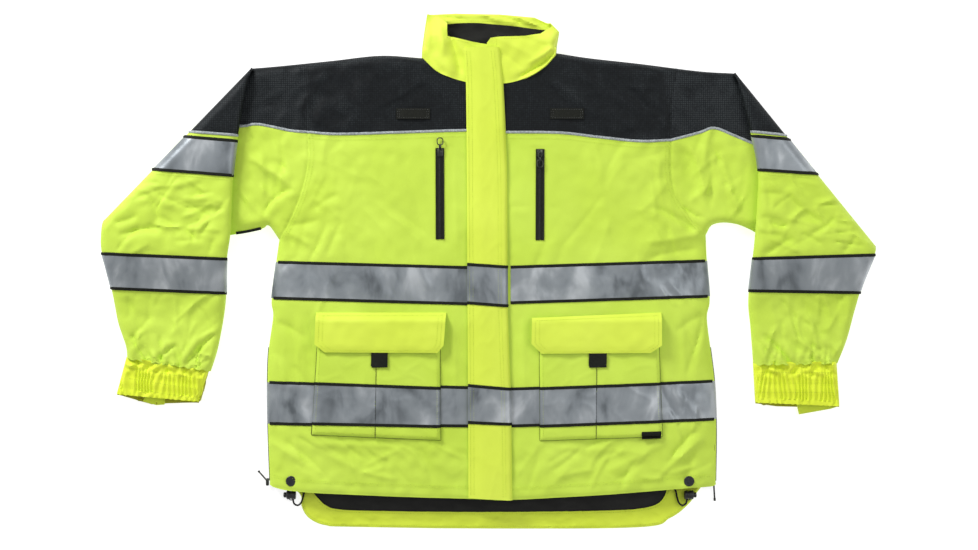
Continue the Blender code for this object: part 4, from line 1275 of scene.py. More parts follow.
def folded_sleeve(side):
    """The folded part of the sleeve: its upper and lower cloth, bands, trims and piping."""
    hold = hold_on(f"sleeve_{side}")
    top, low = sleeve_top(side), sleeve_low(side)
    seam, cuff_seam = across(side, "seam"), across(side, "cuff", 0.0030)
    cuff_seam[1:-1, 1] += 0.0013 * np.sin(cuff_seam[1:-1, 0] * 2 * math.pi / 0.0150)
    cap_shape = sleeve_zone(side, None, seam)
    sheet(f"folded_cap_{side}", cap_shape, top, "black", hold, rows=EDGE_ROWS, lift=0.0002,
          growth=1.15)
    main_shape = sleeve_zone(side, seam, cuff_seam)
    sheet(f"folded_sleeve_{side}", main_shape, top, "yellow", hold, rows=EDGE_ROWS, grain=0.0030,
          replaces=(f"sleeve_{side}",), growth=1.12)
    sheet(f"sleeve_underside_{side}", main_shape, low, "yellow", hold, rows=EDGE_ROWS, face_down=True,
          grain=0.0060, growth=1.10)
    sheet(f"cap_underside_{side}", cap_shape, low, "black", hold, rows=EDGE_ROWS, face_down=True,
          grain=0.0060, growth=1.15)
    bands = {"upper_band": ("strip", "upper_low"), "elbow_band": ("elbow_top", "elbow_low")}
    for name, (above, below) in bands.items():
        lines = [across(side, above), across(side, below)]
        outline = sleeve_zone(side, *lines)
        sheet(f"{name}_cloth_{side}", outline, top, "silver", hold, rows=EDGE_ROWS, lift=0.0013, thick=TAPE,
              grain=0.0030, replaces=(f"{name}_{side}",), growth=1.10)
        sheet(f"{name}_under_{side}", outline, low, "silver", hold, rows=EDGE_ROWS, lift=0.0006, thick=TAPE,
              grain=0.0050, face_down=True, growth=1.10)
        strips(f"{name}_under_trim_{side}", [line[2:-2] for line in lines], low, "trim", hold, lift=0.0008,
               thick=0.0010, face_down=True)
        strips(f"{name}_trim_{side}", lines, top, "trim", hold, lift=0.0017, thick=0.0015, crown=0.0002)
    strips(f"folded_piping_{side}", [seam], top, "piping", hold, width=0.0030, lift=0.0010, thick=0.0016,
           crown=0.0011)
    rows = [line + np.array([0.0, offset]) for line, offset in
            ((seam, 0.0050), (seam, 0.0100), (across(side, "upper_low"), -0.0070), (cuff_seam, 0.0045))]
    rows = [row[2:-2] for row in rows]
    stitches(f"sleeve_stitches_{side}", rows[2:], top, "thread", hold)
    stitches(f"cap_stitches_{side}", rows[:2], top, "dark_thread", hold)
    join_x = SLEEVE_LINES[side]["upper_join"]
    high, deep = (np.interp(join_x * SIGN[side], *(np.sort(across(side, name) * [SIGN[side], 1.0], axis=0).T))
                  for name in ("strip", "upper_low"))
    join = straight([(join_x, high - 0.004), (join_x, deep + 0.004)])
    strips(f"upper_band_seam_{side}", [join], top, "trim", hold, width=0.0012, lift=0.0011, thick=0.0008)


def fold_bridge(side):
    """The sleeve's cloth round the fold, from the upper sleeve to the folded part."""
    fold = straight(FOLD[side], 0.0060)
    run = fold[-1] - fold[0]
    outward = np.array([SIGN[side] * abs(run[1]), abs(run[0])]) / np.linalg.norm(run)
    seam_y = across(side, "seam")[-1][1]
    for name, look, line in (("cap", "black", fold[fold[:, 1] > seam_y - 0.006]),
                             ("sleeve", "yellow", fold[fold[:, 1] < seam_y + 0.001])):
        rows = [np.column_stack([line + outward * out, np.full(len(line), z)])
                for out, z in ((-0.0035, 0.0118), (-0.0006, 0.0150), (0.0004, 0.0195), (-0.0006, 0.0240),
                               (-0.0035, 0.0268))]
        points = np.stack(rows, 1).reshape(-1, 3)
        faces = np.array([(k * 5 + c, k * 5 + c + 1, k * 5 + c + 6, k * 5 + c + 5)
                          for k in range(len(line) - 1) for c in range(4)])
        if (normals_of(points, faces)[:, :2] @ outward).sum() < 0:
            faces = faces[:, ::-1]
        points, faces = shell(points, faces, 0.0, 0.0009)
        piece = make_piece(f"fold_{name}_{side}", points, faces, look, hold_on("shell"))
        long = float(np.linalg.norm(line[-1] - line[0]))
        flat = np.array([(0.0, 0.0), (long, 0.0), (long, 0.0185), (0.0, 0.0185)])
        declare(flat, 1.02)


# The cuffs: the upper layer's corners, then how far the lower layer reaches past it.
CUFFS = {
    LEFT: {"top": ((0.4230, -0.1480), (0.5580, -0.1480)), "low": ((0.4270, -0.2105), (0.5625, -0.2165)),
           "reach": (0.0020, 0.0055, 0.0045, 0.0015), "seam": 0.0170},
    RIGHT: {"top": ((-0.4520, -0.1610), (-0.5850, -0.1400)), "low": ((-0.4690, -0.2090), (-0.6010, -0.1970)),
            "reach": (0.0025, 0.0060, 0.0120, 0.0015), "seam": 0.0170},
}


def cuff(side):
    """The gathered cuff: an upper and a lower layer, rippled by the elastic, open at the end."""
    (a, b), (c, d) = (CUFFS[side][key] for key in ("top", "low"))
    a, b, c, d = (np.array(corner) for corner in (a, b, c, d))
    hold = hold_on(f"sleeve_{side}")

    def height_of(flat_height, middle, sign):
        def at(x, y):
            share = np.clip((x - a[0]) / (b[0] - a[0]), 0, 1)
            top_y, low_y = a[1] + share * (b[1] - a[1]), c[1] + share * (d[1] - c[1])
            down = np.clip((top_y - y) / (top_y - low_y), -0.2, 1.2)
            ripple_phase = x * 2 * math.pi / 0.0072 + 2.4 * small_waves(x * 0.7, y * 0.25)
            depth = 0.0006 + 0.0011 * smooth(0.20, 0.40, down)
            rumple = 0.0026 * (1 - smooth(0.20, 0.42, down)) * small_waves(x * 1.8, y * 1.8)
            channel = 0.0010 * np.cos(down * 6 * math.pi) * smooth(0.25, 0.4, down)
            swell = flat_height + sign * (depth * np.sin(ripple_phase) + rumple + channel * 0.5)
            edge_in = a + (c - a) * np.clip(down, 0, 1)[..., None]
            edge_out = b + (d - b) * np.clip(down, 0, 1)[..., None]
            near = np.minimum(np.abs(x - edge_in[..., 0]), np.abs(edge_out[..., 0] - x))
            rim = np.sqrt(np.clip(1 - (1 - np.clip(near / 0.0090, 0, 1)) ** 2, 0, 1))
            return np.maximum(middle + (swell - middle) * rim, FLOOR_GAP + 0.0004)
        return at

    a, b = a + np.array([0.0, 0.0030]), b + np.array([0.0, 0.0030])
    top_line, low_line = straight([a, b]), straight([c, d])
    upper_height = height_of(CUFF_TOP - 0.0015, 0.0115, 1.0)
    lower_height = height_of(FLOOR_GAP + 0.0020, 0.0111, -1.0)
    edge_waves = 0.0006 * np.sin(low_line[:, 0] * 2 * math.pi / 0.0072)
    rim_line = low_line + np.stack([np.zeros(len(low_line)), edge_waves], 1)
    outline = loop_of(top_line[:-1], straight([b, rim_line[-1]])[:-1], rim_line[::-1][:-1],
                      straight([rim_line[0], a])[:-1])
    upper = sheet(f"cuff_upper_{side}", outline, upper_height, "cuff", hold, rows=EDGE_ROWS, grain=0.0016,
                  thick=0.0018, replaces=(f"cuff_{side}",),
                  growth=1.35)
    shares = np.linspace(0, 1, 20)
    reach = np.interp(shares, (0.0, 0.25, 0.60, 1.0), CUFFS[side]["reach"])
    lower_rim = c + (d - c) * shares[:, None] - np.stack([np.zeros(20), reach], 1)
    outline = loop_of(top_line[:-1], straight([b, lower_rim[-1]])[:-1], lower_rim[::-1][:-1],
                      straight([lower_rim[0], a])[:-1])
    # The lower layer wears the dark olive painted shade.
    sheet(f"cuff_lower_{side}", outline, lower_height, "inside", hold, rows=EDGE_ROWS, grain=0.0022,
          thick=0.0018, face_down=True, growth=1.35)
    channel = CUFFS[side]["seam"]
    rows = [top_line[1:-1] + np.array([0.0, -depth]) for depth in (0.0050, channel, 0.0340, 0.0490)]
    stitches(f"cuff_stitches_{side}", rows, upper_height, "thread", hold, lift=0.0006)
    return upper


def cuff_tab(side):
    """The tab at the cuff's end, two layers of cloth with a stitched edge."""
    corners = {
        LEFT: [(0.4935, -0.2110), (0.5610, -0.2110), (0.5620, -0.2175), (0.5490, -0.2215), (0.4985, -0.2305)],
        RIGHT: [(-0.5560, -0.2020), (-0.5235, -0.2020), (-0.5250, -0.2145), (-0.5380, -0.2155),
                (-0.5600, -0.2090)],
    }[side]
    outline = loop_of(straight(corners + corners[:1], 0.0025)[:-1])

    def height(x, y):
        return 0.0068 + 0.0004 * small_waves(x, y) - 0.0012 * smooth(-0.215, -0.232, y)
    hold = hold_cuff_tab()
    sheet(f"cuff_tab_cloth_{side}", outline, height, "warm", hold, thick=0.0020,
          grain=0.0025, replaces=(f"cuff_tab_{side}",))
    middle = outline.mean(0)
    ring = middle + (outline - middle) * 0.84
    stitches(f"cuff_tab_stitches_{side}", [np.vstack([ring, ring[:1]])], height, "thread", hold, lift=0.0003)


# The storm flap, from the collar to the hem: its free edge and its sewn edge.
STORM_FREE = [(-0.0415, 0.3575), (-0.0385, 0.3000), (-0.0370, 0.1500), (-0.0360, -0.0500), (-0.0350, -0.2000),
              (-0.0345, -0.3620)]
STORM_SEWN = [(0.0160, 0.3590), (0.0215, 0.3000), (0.0275, 0.1500), (0.0285, -0.0460), (0.0335, -0.2060),
              (0.0360, -0.3660)]
STORM_BANDS = {"chest": (0.0115, 0.0070, -0.0500, -0.0550), "hem": (-0.1820, -0.1880, -0.2410, -0.2440)}
STORM_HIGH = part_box("storm_flap")[1].z


def storm_height(x, y):
    """The storm flap's upper surface: sewn down on one side, drooping at its free edge."""
    free = np.interp(-y, [-p[1] for p in STORM_FREE], [p[0] for p in STORM_FREE])
    sewn = np.interp(-y, [-p[1] for p in STORM_SEWN], [p[0] for p in STORM_SEWN])
    from_sewn, from_free = np.clip(sewn - x, 0, 1), np.clip(x - free, 0, 1)
    rise = np.sqrt(np.clip(1 - (1 - np.clip(from_sewn / 0.0075, 0, 1)) ** 2, 0, 1))
    droop = 0.0030 * (1 - smooth(0.0, 0.026, from_free)) + 0.0008 * (1 - smooth(0.0, 0.0020, from_free))
    soft = 0.0006 * body_waves(x * 1.4, y * 1.1) + 0.0006 * ridged(small_waves(x * 0.8, y * 0.35))
    soft -= 0.0004 * np.exp(-((from_free - 0.008) / 0.0016) ** 2)
    full = STORM_HIGH - 0.0002 - droop + soft
    return FRONT_TOP + 0.0012 + (full - FRONT_TOP - 0.0012) * rise


def storm_flap():
    """The long flap over the main zip, with its bands, trims and stitches."""
    free, sewn = spline(STORM_FREE), spline(STORM_SEWN)
    outline = loop_of(straight([free[0], sewn[0]])[:-1], sewn[:-1], straight([sewn[-1], free[-1]])[:-1],
                      free[::-1][:-1])
    sheet("storm_flap_cloth", outline, storm_height, "bright", hold_storm, thick=0.0020,
          rows=(0.0010, 0.0024, 0.0045), grain=0.0036, replaces=("storm_flap",),
          growth=1.05)
    for name, (top_free, top_sewn, low_free, low_sewn) in STORM_BANDS.items():
        lines = []
        for y_free, y_sewn in ((top_free, top_sewn), (low_free, low_sewn)):
            start = part_of(free, y_free, y_free - 0.01)[0]
            end = part_of(sewn, y_sewn, y_sewn - 0.01)[0]
            lines.append(straight([start, end], 0.0030))
        band = loop_of(lines[0][:-1], part_of(sewn, top_sewn, low_sewn)[:-1], lines[1][::-1][:-1],
                       part_of(free, top_free, low_free)[::-1][:-1])
        sheet(f"storm_{name}_band", band, storm_height, "silver", hold_storm, lift=0.0005, thick=TAPE,
              rows=(0.0010, 0.0024, 0.0045), grain=0.0030, growth=1.08)
        strips(f"storm_{name}_trim", lines, storm_height, "trim", hold_storm, lift=0.0012, thick=0.0014,
               crown=0.0002)
    rows = [beside(free, -offset)[1:-1] for offset in (0.0035, 0.0090)]
    rows += [beside(sewn, offset)[1:-1] for offset in (0.0105, 0.0150)]
    stitches("storm_stitches", rows, storm_height, "thread", hold_storm, lift=0.0006)


# The pockets: corners of the bag and of the flap, with the pleat and the pull tab.
POCKETS = {
    LEFT: {"bag": [(0.0790, -0.0860), (0.2690, -0.0860), (0.2760, -0.2640), (0.0800, -0.2705)],
           "flap": [(0.0670, -0.0740), (0.2740, -0.0655), (0.2740, -0.1180), (0.2560, -0.1300),
                    (0.0820, -0.1310), (0.0660, -0.1150)],
           "pleat": ((0.1710, -0.0900), (0.1695, -0.2670)), "tab": (0.1575, 0.1865),
           "band": ((-0.1870, -0.1795), (-0.2470, -0.2395)), "open": 0.1710},
    RIGHT: {"bag": [(-0.0800, -0.0860), (-0.2740, -0.0860), (-0.2850, -0.2610), (-0.0790, -0.2700)],
            "flap": [(-0.0700, -0.0655), (-0.2780, -0.0655), (-0.2800, -0.1160), (-0.2640, -0.1290),
                     (-0.0840, -0.1300), (-0.0740, -0.1180)],
            "pleat": ((-0.1810, -0.0900), (-0.1835, -0.2670)), "tab": (-0.1900, -0.1630),
            "band": ((-0.1865, -0.1790), (-0.2475, -0.2430)), "open": -0.1810},
}


def pocket_height(side):
    """The cargo pocket's upper surface: steep sides and a pleat down its middle."""
    bag = np.array(POCKETS[side]["bag"])
    edges = np.vstack([bag[1:], bag[:1]])
    pleat = np.array(POCKETS[side]["pleat"])
    ground = front(side)

    def at(x, y):
        near = distance(x, y, edges)
        wall = np.sqrt(np.clip(1 - (1 - np.clip(near / 0.0070, 0, 1)) ** 2, 0, 1))
        sag = 0.0014 * smooth(-0.24, -0.10, y)
        puff = 0.0006 * body_waves(x * 1.5, y * 1.5) + 0.0007 * ridged(small_waves(x * 0.5, y * 0.5))
        groove = 0.0014 * np.exp(-(distance(x, y, pleat) / 0.0016) ** 2)
        full = POCKET_TOP - 0.0034 - sag + puff - groove
        base = np.minimum(ground(x, y), FRONT_TOP + 0.001) + 0.0012
        return base + (full - base) * wall
    return at


def pocket(side):
    """The cargo pocket with its bellows, pleat, reflective band and stitches."""
    shape = POCKETS[side]
    height = pocket_height(side)
    hold = hold_on(f"front_{side}")
    bag = straight(shape["bag"] + shape["bag"][:1], 0.0036)[:-1]
    sheet(f"pocket_cloth_{side}", loop_of(bag), height, "yellow", hold, rows=EDGE_ROWS, grain=0.0034,
          replaces=(f"pocket_{side}",), growth=1.16)
    corners = np.array(shape["bag"])
    (top_in, top_out), (low_in, low_out) = shape["band"]
    inner_x = [np.interp(-y, -corners[[0, 3], 1], corners[[0, 3], 0]) for y in (top_in, low_in)]
    outer_x = [np.interp(-y, -corners[[1, 2], 1], corners[[1, 2], 0]) for y in (top_out, low_out)]
    lines = [straight([(inner_x[k], ys[0]), (outer_x[k], ys[1])], 0.0030)
             for k, ys in enumerate(((top_in, top_out), (low_in, low_out)))]
    band = loop_of(lines[0][:-1], straight([lines[0][-1], lines[1][-1]], 0.003)[:-1], lines[1][::-1][:-1],
                   straight([lines[1][0], lines[0][0]], 0.003)[:-1])
    sheet(f"pocket_band_{side}", band, height, "silver", hold, rows=EDGE_ROWS, grain=0.0030, lift=0.0005,
          thick=TAPE, growth=1.15)
    strips(f"pocket_trim_{side}", lines, height, "trim", hold, lift=0.0012, thick=0.0014, crown=0.0002)
    pleat = straight(shape["pleat"], 0.0030)
    strips(f"pocket_pleat_{side}", [pleat], height, "dark_thread", hold, width=0.0011, lift=0.0016,
           thick=0.0010)
    rim = [straight([corners[k] * [1.0, 1.0], corners[(k + 1) % 4]], 0.0030) for k in (1, 2, 3)]
    # The pocket's sewn foot is drawn as a thin dark olive strip: painted shade of the crease where the bag meets the
    # front.
    strips(f"pocket_rim_{side}", rim, front(side), "olive_seam_painted_shade", hold, width=0.0014, lift=0.0012, thick=0.0010)
    sign = SIGN[side]
    rows = [beside(straight(shape["bag"][k:k + 2], 0.003)[2:-2], sign * 0.0052) for k in (1, 2)]
    rows.append(beside(straight([shape["bag"][3], shape["bag"][0]], 0.003)[2:-2], sign * 0.0052))
    stitches(f"pocket_stitches_{side}", rows, height, "thread", hold, lift=0.0006)


def pocket_flap(side):
    """The pocket's flap with cut corners, a band of stitches and a black pull tab under its edge."""
    shape = POCKETS[side]
    hold = hold_pocket_flap()
    corners = shape["flap"]

    def height(x, y):
        rise = smooth(-0.0640, -0.0800, y)
        puff = 0.0006 * body_waves(x * 1.3 + 0.2, y) + 0.0003 * small_waves(x, y)
        edge = 0.0016 * smooth(-0.118, -0.131, y)
        return FRONT_TOP + 0.0016 + (POCKET_TOP + 0.0020 - FRONT_TOP - 0.0016 + puff - edge) * rise
    outline = loop_of(straight(corners + corners[:1], 0.0034)[:-1])
    sheet(f"pocket_flap_cloth_{side}", outline, height, "bright", hold, thick=0.0018, grain=0.0036,
          rows=(0.0010, 0.0026), replaces=(f"pocket_flap_{side}",),
          growth=1.06)
    low_x, high_x = shape["tab"]
    tab = loop_of(straight([(low_x + 0.0006, -0.1285), (high_x, -0.1285), (high_x - 0.0006, -0.1530),
                            (low_x + 0.0016, -0.1535), (low_x, -0.1500), (low_x + 0.0006, -0.1285)], 0.0026)[:-1])
    sheet(f"flap_pull_tab_{side}", tab, lambda x, y: POCKET_TOP - 0.0012 + 0.0003 * small_waves(x, y), "trim",
          hold, thick=0.0014, grain=0.0026)
    middle = outline.mean(0)
    inner = [np.array(corner) + (middle - np.array(corner)) * 0.055 for corner in corners]
    second = [np.array(corner) + (middle - np.array(corner)) * 0.115 for corner in corners]
    rows = [straight([*ring[1:], ring[0]], 0.003) for ring in (inner, second)]
    rows.append(straight([inner[0], inner[1]], 0.003) + np.array([0.0, -0.003]))
    stitches(f"flap_stitches_{side}", rows, height, "thread", hold, lift=0.0006)


# The collar: outlines of the two front halves, of the back, and of the black lining inside.
COLLAR_FRONT = {
    LEFT: {"base": [(-0.0040, 0.3020), (0.0290, 0.3015), (0.0640, 0.3125), (0.0880, 0.3285), (0.1045, 0.3470)],
           "rim": [(0.1060, 0.3620), (0.1100, 0.3845), (0.1000, 0.3945), (0.0900, 0.3880), (0.0810, 0.3812),
                   (0.0560, 0.3770), (0.0100, 0.3750), (0.0010, 0.3735), (-0.0050, 0.3655)]},
    RIGHT: {"base": [(-0.0030, 0.3020), (-0.0350, 0.3025), (-0.0800, 0.3175), (-0.1080, 0.3420)],
            "rim": [(-0.1075, 0.3600), (-0.1040, 0.3860), (-0.0995, 0.4130), (-0.0820, 0.4080), (-0.0690, 0.3985),
                    (-0.0680, 0.3770), (-0.0260, 0.3670), (-0.0030, 0.3630)]},
}
COLLAR_BACK = [(-0.1085, 0.3420), (-0.1075, 0.3600), (-0.1040, 0.3860), (-0.0998, 0.4142), (-0.0560, 0.4164),
               (0.0160, 0.4150), (0.0720, 0.4100), (0.0960, 0.3990), (0.1100, 0.3850), (0.1060, 0.3620),
               (0.1050, 0.3470)]
COLLAR_LINING = [(-0.0880, 0.3500), (-0.0760, 0.3930), (-0.0640, 0.3985), (-0.0210, 0.4005), (0.0410, 0.3950),
                 (0.0790, 0.3900), (0.0900, 0.3850), (0.0900, 0.3500)]
COLLAR_CREASES = [
    ((0.0400, 0.3080), (0.1080, 0.3560), 0.0042, -0.0062, -0.004),
    ((0.0560, 0.3300), (0.1050, 0.3640), 0.0060, 0.0034, -0.003),
    ((0.0100, 0.3740), (0.0900, 0.3300), 0.0100, 0.0024, 0.002),
    ((0.0400, 0.3760), (0.1000, 0.3560), 0.0070, -0.0020, 0.002),
    ((0.0100, 0.3560), (0.0560, 0.3220), 0.0060, -0.0016, 0.001),
    ((-0.0700, 0.3900), (-0.0460, 0.3060), 0.0085, -0.0056, 0.004),
    ((-0.0600, 0.3780), (-0.0280, 0.3240), 0.0080, 0.0030, 0.002),
    ((-0.1060, 0.3640), (-0.0700, 0.3140), 0.0080, -0.0034, -0.004),
    ((-0.0860, 0.4140), (-0.0740, 0.3400), 0.0080, 0.0034, 0.003),
    ((-0.0980, 0.4140), (-0.0930, 0.3600), 0.0060, -0.0022, 0.002),
]
COLLAR_RIM_CREASES = [
    ((-0.1000, 0.4140), (-0.0300, 0.4040), 0.0040, -0.0030, 0.001),
    ((-0.0200, 0.4160), (0.0160, 0.4020), 0.0034, 0.0026, 0.001),
    ((0.0060, 0.4150), (0.0560, 0.3990), 0.0034, -0.0034, 0.001),
    ((0.0400, 0.4120), (0.0800, 0.3950), 0.0034, 0.0026, -0.001),
    ((0.0640, 0.4080), (0.1080, 0.3880), 0.0042, -0.0048, 0.001),
    ((-0.0900, 0.4060), (-0.0600, 0.4000), 0.0030, 0.0018, 0.001),
]


def collar_front_height(side):
    """The collar's front half: sewn to the yoke, sinking to the back collar at the neck's side."""
    outer = np.array([corner for corner in COLLAR_FRONT[side]["rim"] if abs(corner[0]) > 0.095])
    lobe = (0.366, 0.396) if side == LEFT else (0.376, 0.412)

    def at(x, y):
        relief = 0.0006 * small_waves(x, y) + 0.0004 * body_waves(x * 2, y * 2)
        for start, end, width, height, bow in COLLAR_CREASES:
            relief += crease(x, y, start, end, width, height, bow)
        out = smooth(0.045, 0.090, np.abs(x))
        sink = 0.0190 * out * smooth(*lobe, y)
        sewn = 0.0012 * smooth(0.0, 0.010, distance(x, y, NECK[side]))
        return rolled(FRONT_TOP + 0.0012 + sewn + relief - sink, x, y, [outer], 0.0120, SEAM_HEIGHT)
    return at


def collar_back_height(x, y):
    """The collar's back, seen from inside: it curls up along its top edge."""
    outline = np.array(COLLAR_BACK)
    near = np.clip(distance(x, y, outline[[0, 1, 2, 3]]) / 0.0100, 0, 1)
    near = np.minimum(near, np.clip(distance(x, y, outline[[7, 8, 9, 10]]) / 0.0100, 0, 1))
    side_rise = 1 - np.sqrt(np.clip(1 - (1 - near) ** 2, 0, 1))
    relief = 0.0005 * small_waves(x, y)
    for start, end, width, height, bow in COLLAR_RIM_CREASES:
        relief += crease(x, y, start, end, width, height, bow)
    top = np.clip(distance(x, y, outline[3:8]) / 0.0050, 0, 1)
    edge = np.sqrt(np.clip(1 - (1 - top) ** 2, 0, 1))
    swell = 0.0055 + 0.0022 * smooth(0.392, 0.404, y) + relief
    return (0.0032 + (swell - 0.0032) * edge) * (1 - side_rise) + (SEAM_HEIGHT - 0.0006) * side_rise


def collar_under_height(x, y):
    """The collar's outside at the back, which lies on the floor."""
    outline = np.array(COLLAR_BACK)
    near = np.clip(distance(x, y, outline[[0, 1, 2, 3]]) / 0.0100, 0, 1)
    near = np.minimum(near, np.clip(distance(x, y, outline[[7, 8, 9, 10]]) / 0.0100, 0, 1))
    rise = 1 - np.sqrt(np.clip(1 - (1 - near) ** 2, 0, 1))
    return FLOOR_GAP + 0.0002 + (SEAM_HEIGHT - FLOOR_GAP - 0.0012) * rise


def collar():
    """The stand collar: two front halves, the back inside and out, and the black lining."""
    for side in SIDES:
        base, rim = COLLAR_FRONT[side]["base"], COLLAR_FRONT[side]["rim"]
        outline = loop_of(spline(base, 0.0030)[:-1], straight([base[-1], *rim, base[0]], 0.0030)[:-1])
        height = collar_front_height(side)
        hold = hold_on(f"front_{side}")
        sheet(f"collar_front_cloth_{side}", outline, height, "bright", hold, thick=0.0026, grain=0.0030,
              lift=0.0004 if side == LEFT else 0.0, rows=(0.0008, 0.0018, 0.0034),
              replaces=(f"collar_front_{side}",), growth=1.15)
        top = straight(rim[4:-1], 0.0030) - np.array([0.0, 0.0036])
        stitches(f"collar_stitches_{side}", [top[2:-2]], height, "thread", hold, lift=0.0006)
    closing = straight([(0.0105, 0.3735), (0.0095, 0.3080)])
    stitches("collar_flap_stitches", [closing], collar_front_height(LEFT), "thread", hold_on("front_left"),
             lift=0.0012)
    hold = hold_on("shell")
    back_line = straight(COLLAR_BACK, 0.0030)
    low = straight([back_line[-1], (0.0600, 0.3290), (0.0, 0.3220), (-0.0600, 0.3290), back_line[0]])
    outline = loop_of(back_line[:-1], low[:-1])
    sheet("collar_back_cloth", outline, collar_back_height, "bright", hold, thick=0.0016, grain=0.0030,
          rows=(0.0008, 0.0018, 0.0034), replaces=("collar_back",),
          growth=1.15)
    middle = outline.mean(0)
    sheet("collar_outer_cloth", middle + (outline - middle) * 0.975, collar_under_height, "bright", hold, thick=0.0012, grain=0.0040,
          rows=(0.0010, 0.0026), face_down=True, growth=1.1)
    lining = loop_of(spline(COLLAR_LINING + COLLAR_LINING[:1], 0.0030)[:-1])
    sheet("collar_lining_cloth", lining, lifted_by(collar_back_height, 0.0008), "lining", hold, thick=0.0010,
          grain=0.0030, growth=1.15)
    stitches("collar_rim_stitches", [beside(back_line, 0.0120)[6:-6]], collar_back_height, "thread", hold,
             lift=0.0006)


CHEST_ZIPS = {LEFT: (0.0500, 0.1960), RIGHT: (0.0515, 0.1975)}
TOOTH = 0.0016


def zip_teeth(name, line, height, hold, lift, reach=0.0016):
    """Two interlocked rows of teeth along a line."""
    line = np.asarray(line, float)
    steps = np.linalg.norm(np.diff(line, axis=0), axis=1)
    travelled = np.concatenate([[0], np.cumsum(steps)])
    meshes = []
    for k, spot in enumerate(np.arange(TOOTH, travelled[-1] - TOOTH, TOOTH)):
        x, y = (float(np.interp(spot, travelled, line[:, axis])) for axis in (0, 1))
        side = 1 if k % 2 else -1
        z = float(height(np.array([x]), np.array([y]))[0]) + lift
        low = (x - (0.4 if side > 0 else 1.0) * reach, y - 0.34 * TOOTH, z)
        high = (x + (1.0 if side > 0 else 0.4) * reach, y + 0.34 * TOOTH, z + 0.0009)
        meshes.append(block_mesh(low, high, 0.25))
    points, faces = joined(meshes)
    return make_piece(name, points, faces, "plastic", hold)


def pull_ring(centre, wide, long, radius):
    """A flat ring with round ends, seen from above."""
    turns = np.linspace(0, 2 * math.pi, 40, endpoint=False)
    power = 0.75
    x = np.sign(np.cos(turns)) * np.abs(np.cos(turns)) ** power * wide / 2
    y = np.sign(np.sin(turns)) * np.abs(np.sin(turns)) ** power * long / 2
    path = np.stack([centre[0] + x, centre[1] + y, np.full(40, centre[2])], 1)
    return tube_mesh(path, radius, 8, closed=True)


def chest_zip(side):
    """The chest pocket's zip: coated tape with two welts, teeth, slider and ring pull."""
    height = front(side)
    hold = hold_on(f"front_{side}")
    low_y, high_y = CHEST_ZIPS[side]
    x = sum(corner.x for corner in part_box(f"chest_zip_{side}")) / 2
    line = straight([(x + 0.0005 * SIGN[side], high_y), (x, low_y)], 0.0030)
    tape_width = 0.0132
    strips(f"chest_zip_tape_{side}", [line], height, "zip", hold, width=tape_width, lift=0.0008, thick=0.0012,
           columns=6, replaces=(f"chest_zip_{side}",))
    welts = [beside(line, offset) for offset in (-0.0040, 0.0040)]
    strips(f"chest_zip_welts_{side}", welts, height, "zip", hold, width=0.0050, lift=0.0012, thick=0.0010,
           crown=0.0005, columns=5)
    zip_teeth(f"chest_zip_teeth_{side}", line, height, hold, 0.0008)
    ring = loop_of(beside(line, tape_width / 2 + 0.0016), beside(line, -tape_width / 2 - 0.0016)[::-1])
    stitches(f"chest_zip_stitches_{side}", [np.vstack([ring, ring[:1]])], height, "thread", hold)

    low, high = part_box(f"chest_slider_{side}")
    hold = hold_on(f"chest_slider_{side}")
    waist = (low.x + high.x) / 2
    parts = [block_mesh((low.x, low.y, low.z), (high.x, high.y, low.z + 0.0018), 0.3),
             block_mesh((waist - 0.0011, low.y + 0.0015, low.z + 0.0016), (waist + 0.0011, high.y - 0.0015, high.z),
                        0.25)]
    make_piece(f"chest_slider_body_{side}", *joined(parts), "metal", hold, (f"chest_slider_{side}",))

    low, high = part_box(f"chest_pull_{side}")
    hold = hold_on(f"chest_pull_{side}")
    middle_z = (low.z + high.z) / 2
    away = 1 if side == RIGHT else -1
    near_y, far_y = (low.y, high.y) if side == RIGHT else (high.y, low.y)
    parts = [pull_ring((waist, near_y + away * 0.0042, middle_z), 0.0056, 0.0074, 0.00065)]
    bar_y = sorted((near_y + away * 0.0072, near_y + away * 0.0125))
    parts.append(block_mesh((waist - 0.0019, bar_y[0], middle_z - 0.0008),
                            (waist + 0.0019, bar_y[1], middle_z + 0.0008), 0.3))
    parts.append(pull_ring((waist, far_y - away * 0.0062, middle_z), 0.0094, 0.0112, 0.0009))
    make_piece(f"chest_pull_ring_{side}", *joined(parts), "metal", hold, (f"chest_pull_{side}",))


def mic_tab(side):
    """The tab for a radio microphone, sewn down at both ends."""
    low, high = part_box(f"mic_tab_{side}")
    height = front(side)
    hold = hold_front()
    corners = [(low.x, low.y), (high.x, low.y), (high.x, high.y), (low.x, high.y), (low.x, low.y)]
    middle = (low.x + high.x) / 2

    def raised(x, y):
        ground = front_base(x, y)
        arch = 0.0010 * smooth(0.0, 0.006, (high.x - low.x) / 2 - 0.005 - np.abs(x - middle))
        return np.maximum(ground + 0.0006, height(x, y)) + 0.0008 + arch
    outline = loop_of(straight(corners, 0.0030)[:-1])
    sheet(f"mic_tab_cloth_{side}", outline, raised, "trim", hold, thick=0.0012, grain=0.0030,
          replaces=(f"mic_tab_{side}",))
    rows = [straight([(x, low.y + 0.0015), (x, high.y - 0.0015)], 0.003) for x in
            (low.x + 0.0020, low.x + 0.0050, high.x - 0.0050, high.x - 0.0020)]
    rows += [straight([(low.x + 0.002, y), (high.x - 0.002, y)], 0.003) for y in (low.y + 0.0018, high.y - 0.0018)]
    stitches(f"mic_tab_stitches_{side}", rows, raised, "grey_thread", hold, lift=0.0003)


# The cord locks hang a little lower than in the CAD.
LOCK_DROOP = Vector((0.0, -0.0060, 0.0))


